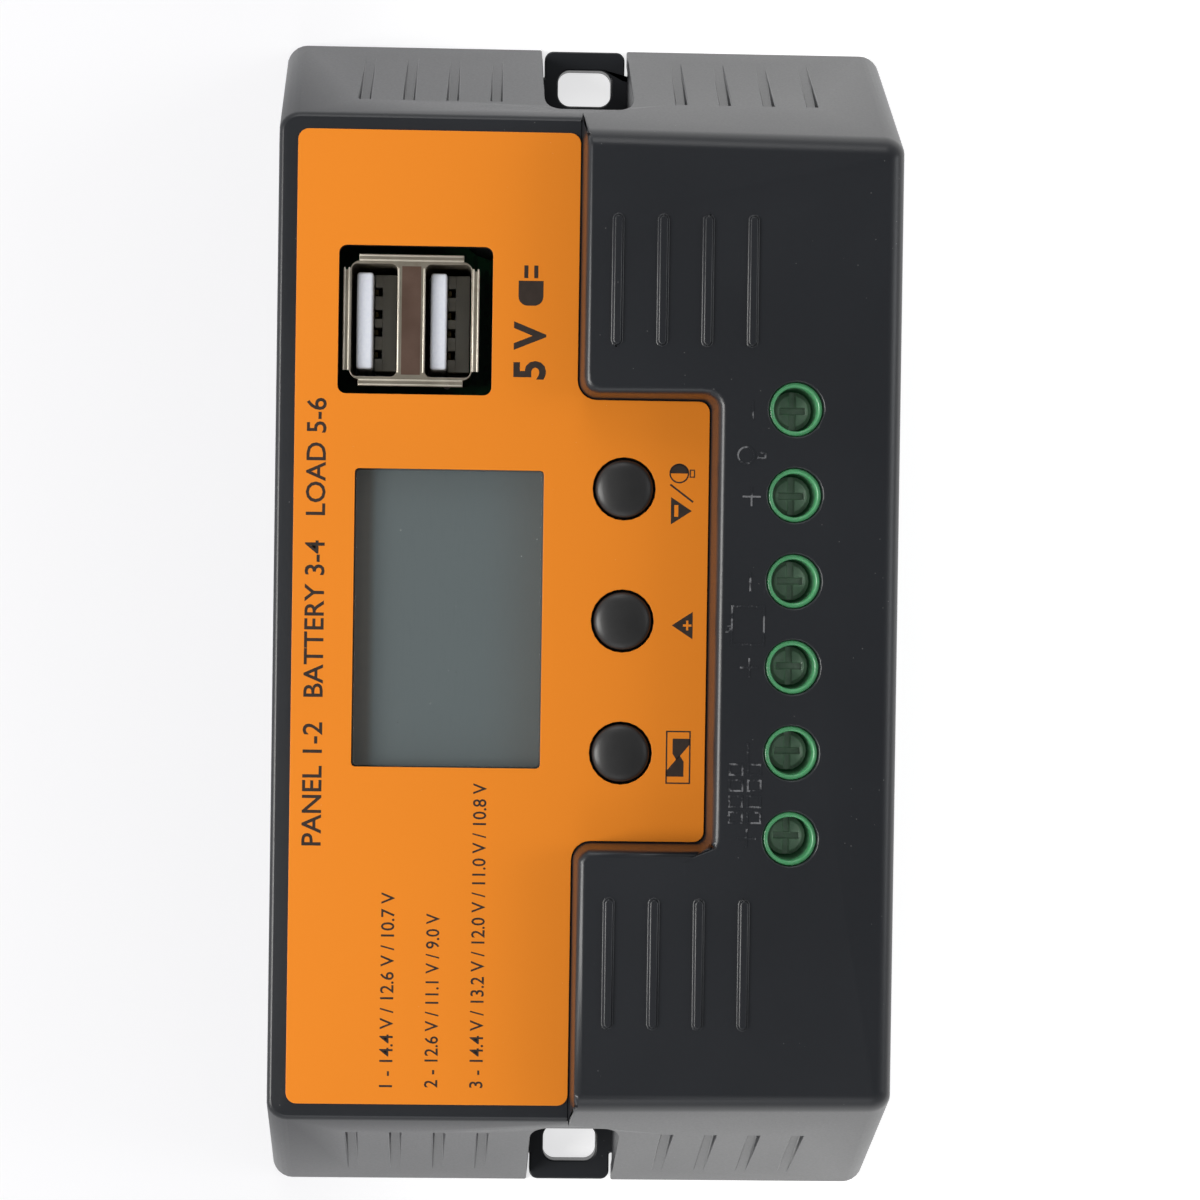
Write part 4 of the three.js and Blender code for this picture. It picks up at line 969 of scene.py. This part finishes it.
class CONTROLLER_OT_stage(Builder, bpy.types.Operator):
    """Set the floor, the lights and the camera"""

    bl_idname = "controller.stage"
    bl_label = "Stage"

    def build(self, sizes):
        stage = sizes.stage
        scene = bpy.context.scene
        scene.view_settings.view_transform = "Standard"
        camera = bpy.data.objects.new("camera", bpy.data.cameras.new("camera"))
        camera.location = stage.camera
        camera.rotation_euler = Euler(stage.turn, "XYZ")
        camera.data.lens = stage.lens
        camera.data.sensor_width = 36
        camera.data.clip_start = 0.01
        scene.collection.objects.link(camera)
        scene.camera = camera
        self.floor(stage)
        self.surroundings(scene)
        for name, place, size, power, tint in (
                ("key", (-0.1, 0.8, 0.75), 0.6, 9.6, (1.0, 0.985, 0.96)),
                ("fill", (0.1, -1.0, 0.62), 0.6, 2.0, (0.95, 0.975, 1.0)),
                ("end", (0.95, 0.1, 0.7), 0.6, 1.7, (1, 1, 1)),
                ("foot", (-0.95, 0.1, 0.7), 0.6, 1.0, (0.97, 0.98, 1.0))):
            light = bpy.data.lights.new(name, "AREA")
            light.shape = "DISK"
            light.size = size
            light.energy = power
            light.color = tint
            lamp = bpy.data.objects.new(name, light)
            lamp.location = place
            lamp.rotation_euler = (-Vector(place)).to_track_quat("-Z", "Y").to_euler()
            scene.collection.objects.link(lamp)

    def floor(self, stage):
        """A pale floor that gives off a little light."""
        bm = bmesh.new()
        bmesh.ops.create_grid(bm, x_segments=1, y_segments=1, size=3,
                              matrix=Matrix.Translation((0, 0, -0.03 * MM)))
        mesh = bpy.data.meshes.new("floor")
        bm.to_mesh(mesh)
        bm.free()
        floor = bpy.data.objects.new("floor", mesh)
        bpy.context.scene.collection.objects.link(floor)
        p = Paint("floor", roughness=0.8, emission_strength=stage.glow)
        grain = p.noise(3, 3)
        p.set("Base Color", p.blend(grain, stage.floor, shade(stage.floor, 0.985)))
        far = p.spread(p.axis("Y"), -0.03, 0.045)
        p.set("Emission Color", p.blend(far, (1.0, 1.0, 1.0), (0.6, 0.6, 0.62)))
        mesh.materials.append(p.material)

    def surroundings(self, scene):
        """A sky that is brighter near the horizon."""
        world = bpy.data.worlds.new("studio")
        world.use_nodes = True
        scene.world = world
        nodes, links = world.node_tree.nodes, world.node_tree.links
        ground = nodes["Background"]
        direction = nodes.new("ShaderNodeTexCoord")
        split = nodes.new("ShaderNodeSeparateXYZ")
        rise = nodes.new("ShaderNodeMapRange")
        rise.inputs["From Min"].default_value = 0.25
        rise.inputs["From Max"].default_value = 0.95
        rise.inputs["To Min"].default_value = 0.62
        rise.inputs["To Max"].default_value = 0.1
        links.new(direction.outputs["Generated"], split.inputs[0])
        links.new(split.outputs["Z"], rise.inputs["Value"])
        links.new(rise.outputs[0], ground.inputs["Strength"])
        ground.inputs["Color"].default_value = (0.98, 0.99, 1, 1)


class CONTROLLER_PT_pieces(bpy.types.Panel):
    """The pieces of the charge controller"""

    bl_label = "Charge Controller"
    bl_space_type = "VIEW_3D"
    bl_region_type = "UI"
    bl_category = "Charge Controller"

    def draw(self, context):
        for operator in OPERATORS:
            self.layout.operator(operator.bl_idname)
        for group in ("case", "label", "display", "terminal", "stage"):
            part = getattr(context.scene.charge_controller, group)
            column = self.layout.column()
            for name in type(part).__annotations__:
                column.prop(part, name)


OPERATORS = (
    CONTROLLER_OT_case, CONTROLLER_OT_deck_marks, CONTROLLER_OT_screws, CONTROLLER_OT_label,
    CONTROLLER_OT_display, CONTROLLER_OT_buttons, CONTROLLER_OT_usb, CONTROLLER_OT_terminals,
    CONTROLLER_OT_electronics, CONTROLLER_OT_stage,
)
CLASSES = (
    CaseSettings, LabelSettings, DisplaySettings, TerminalSettings, StageSettings, ControllerSettings,
    *OPERATORS, CONTROLLER_PT_pieces,
)


def register():
    for kind in CLASSES:
        bpy.utils.register_class(kind)
    bpy.types.Scene.charge_controller = PointerProperty(type=ControllerSettings)


def unregister():
    del bpy.types.Scene.charge_controller
    for kind in reversed(CLASSES):
        bpy.utils.unregister_class(kind)


def main():
    register()
    for operator in OPERATORS:
        getattr(bpy.ops.controller, operator.bl_idname.split(".")[1])()


if __name__ == "__main__":
    main()
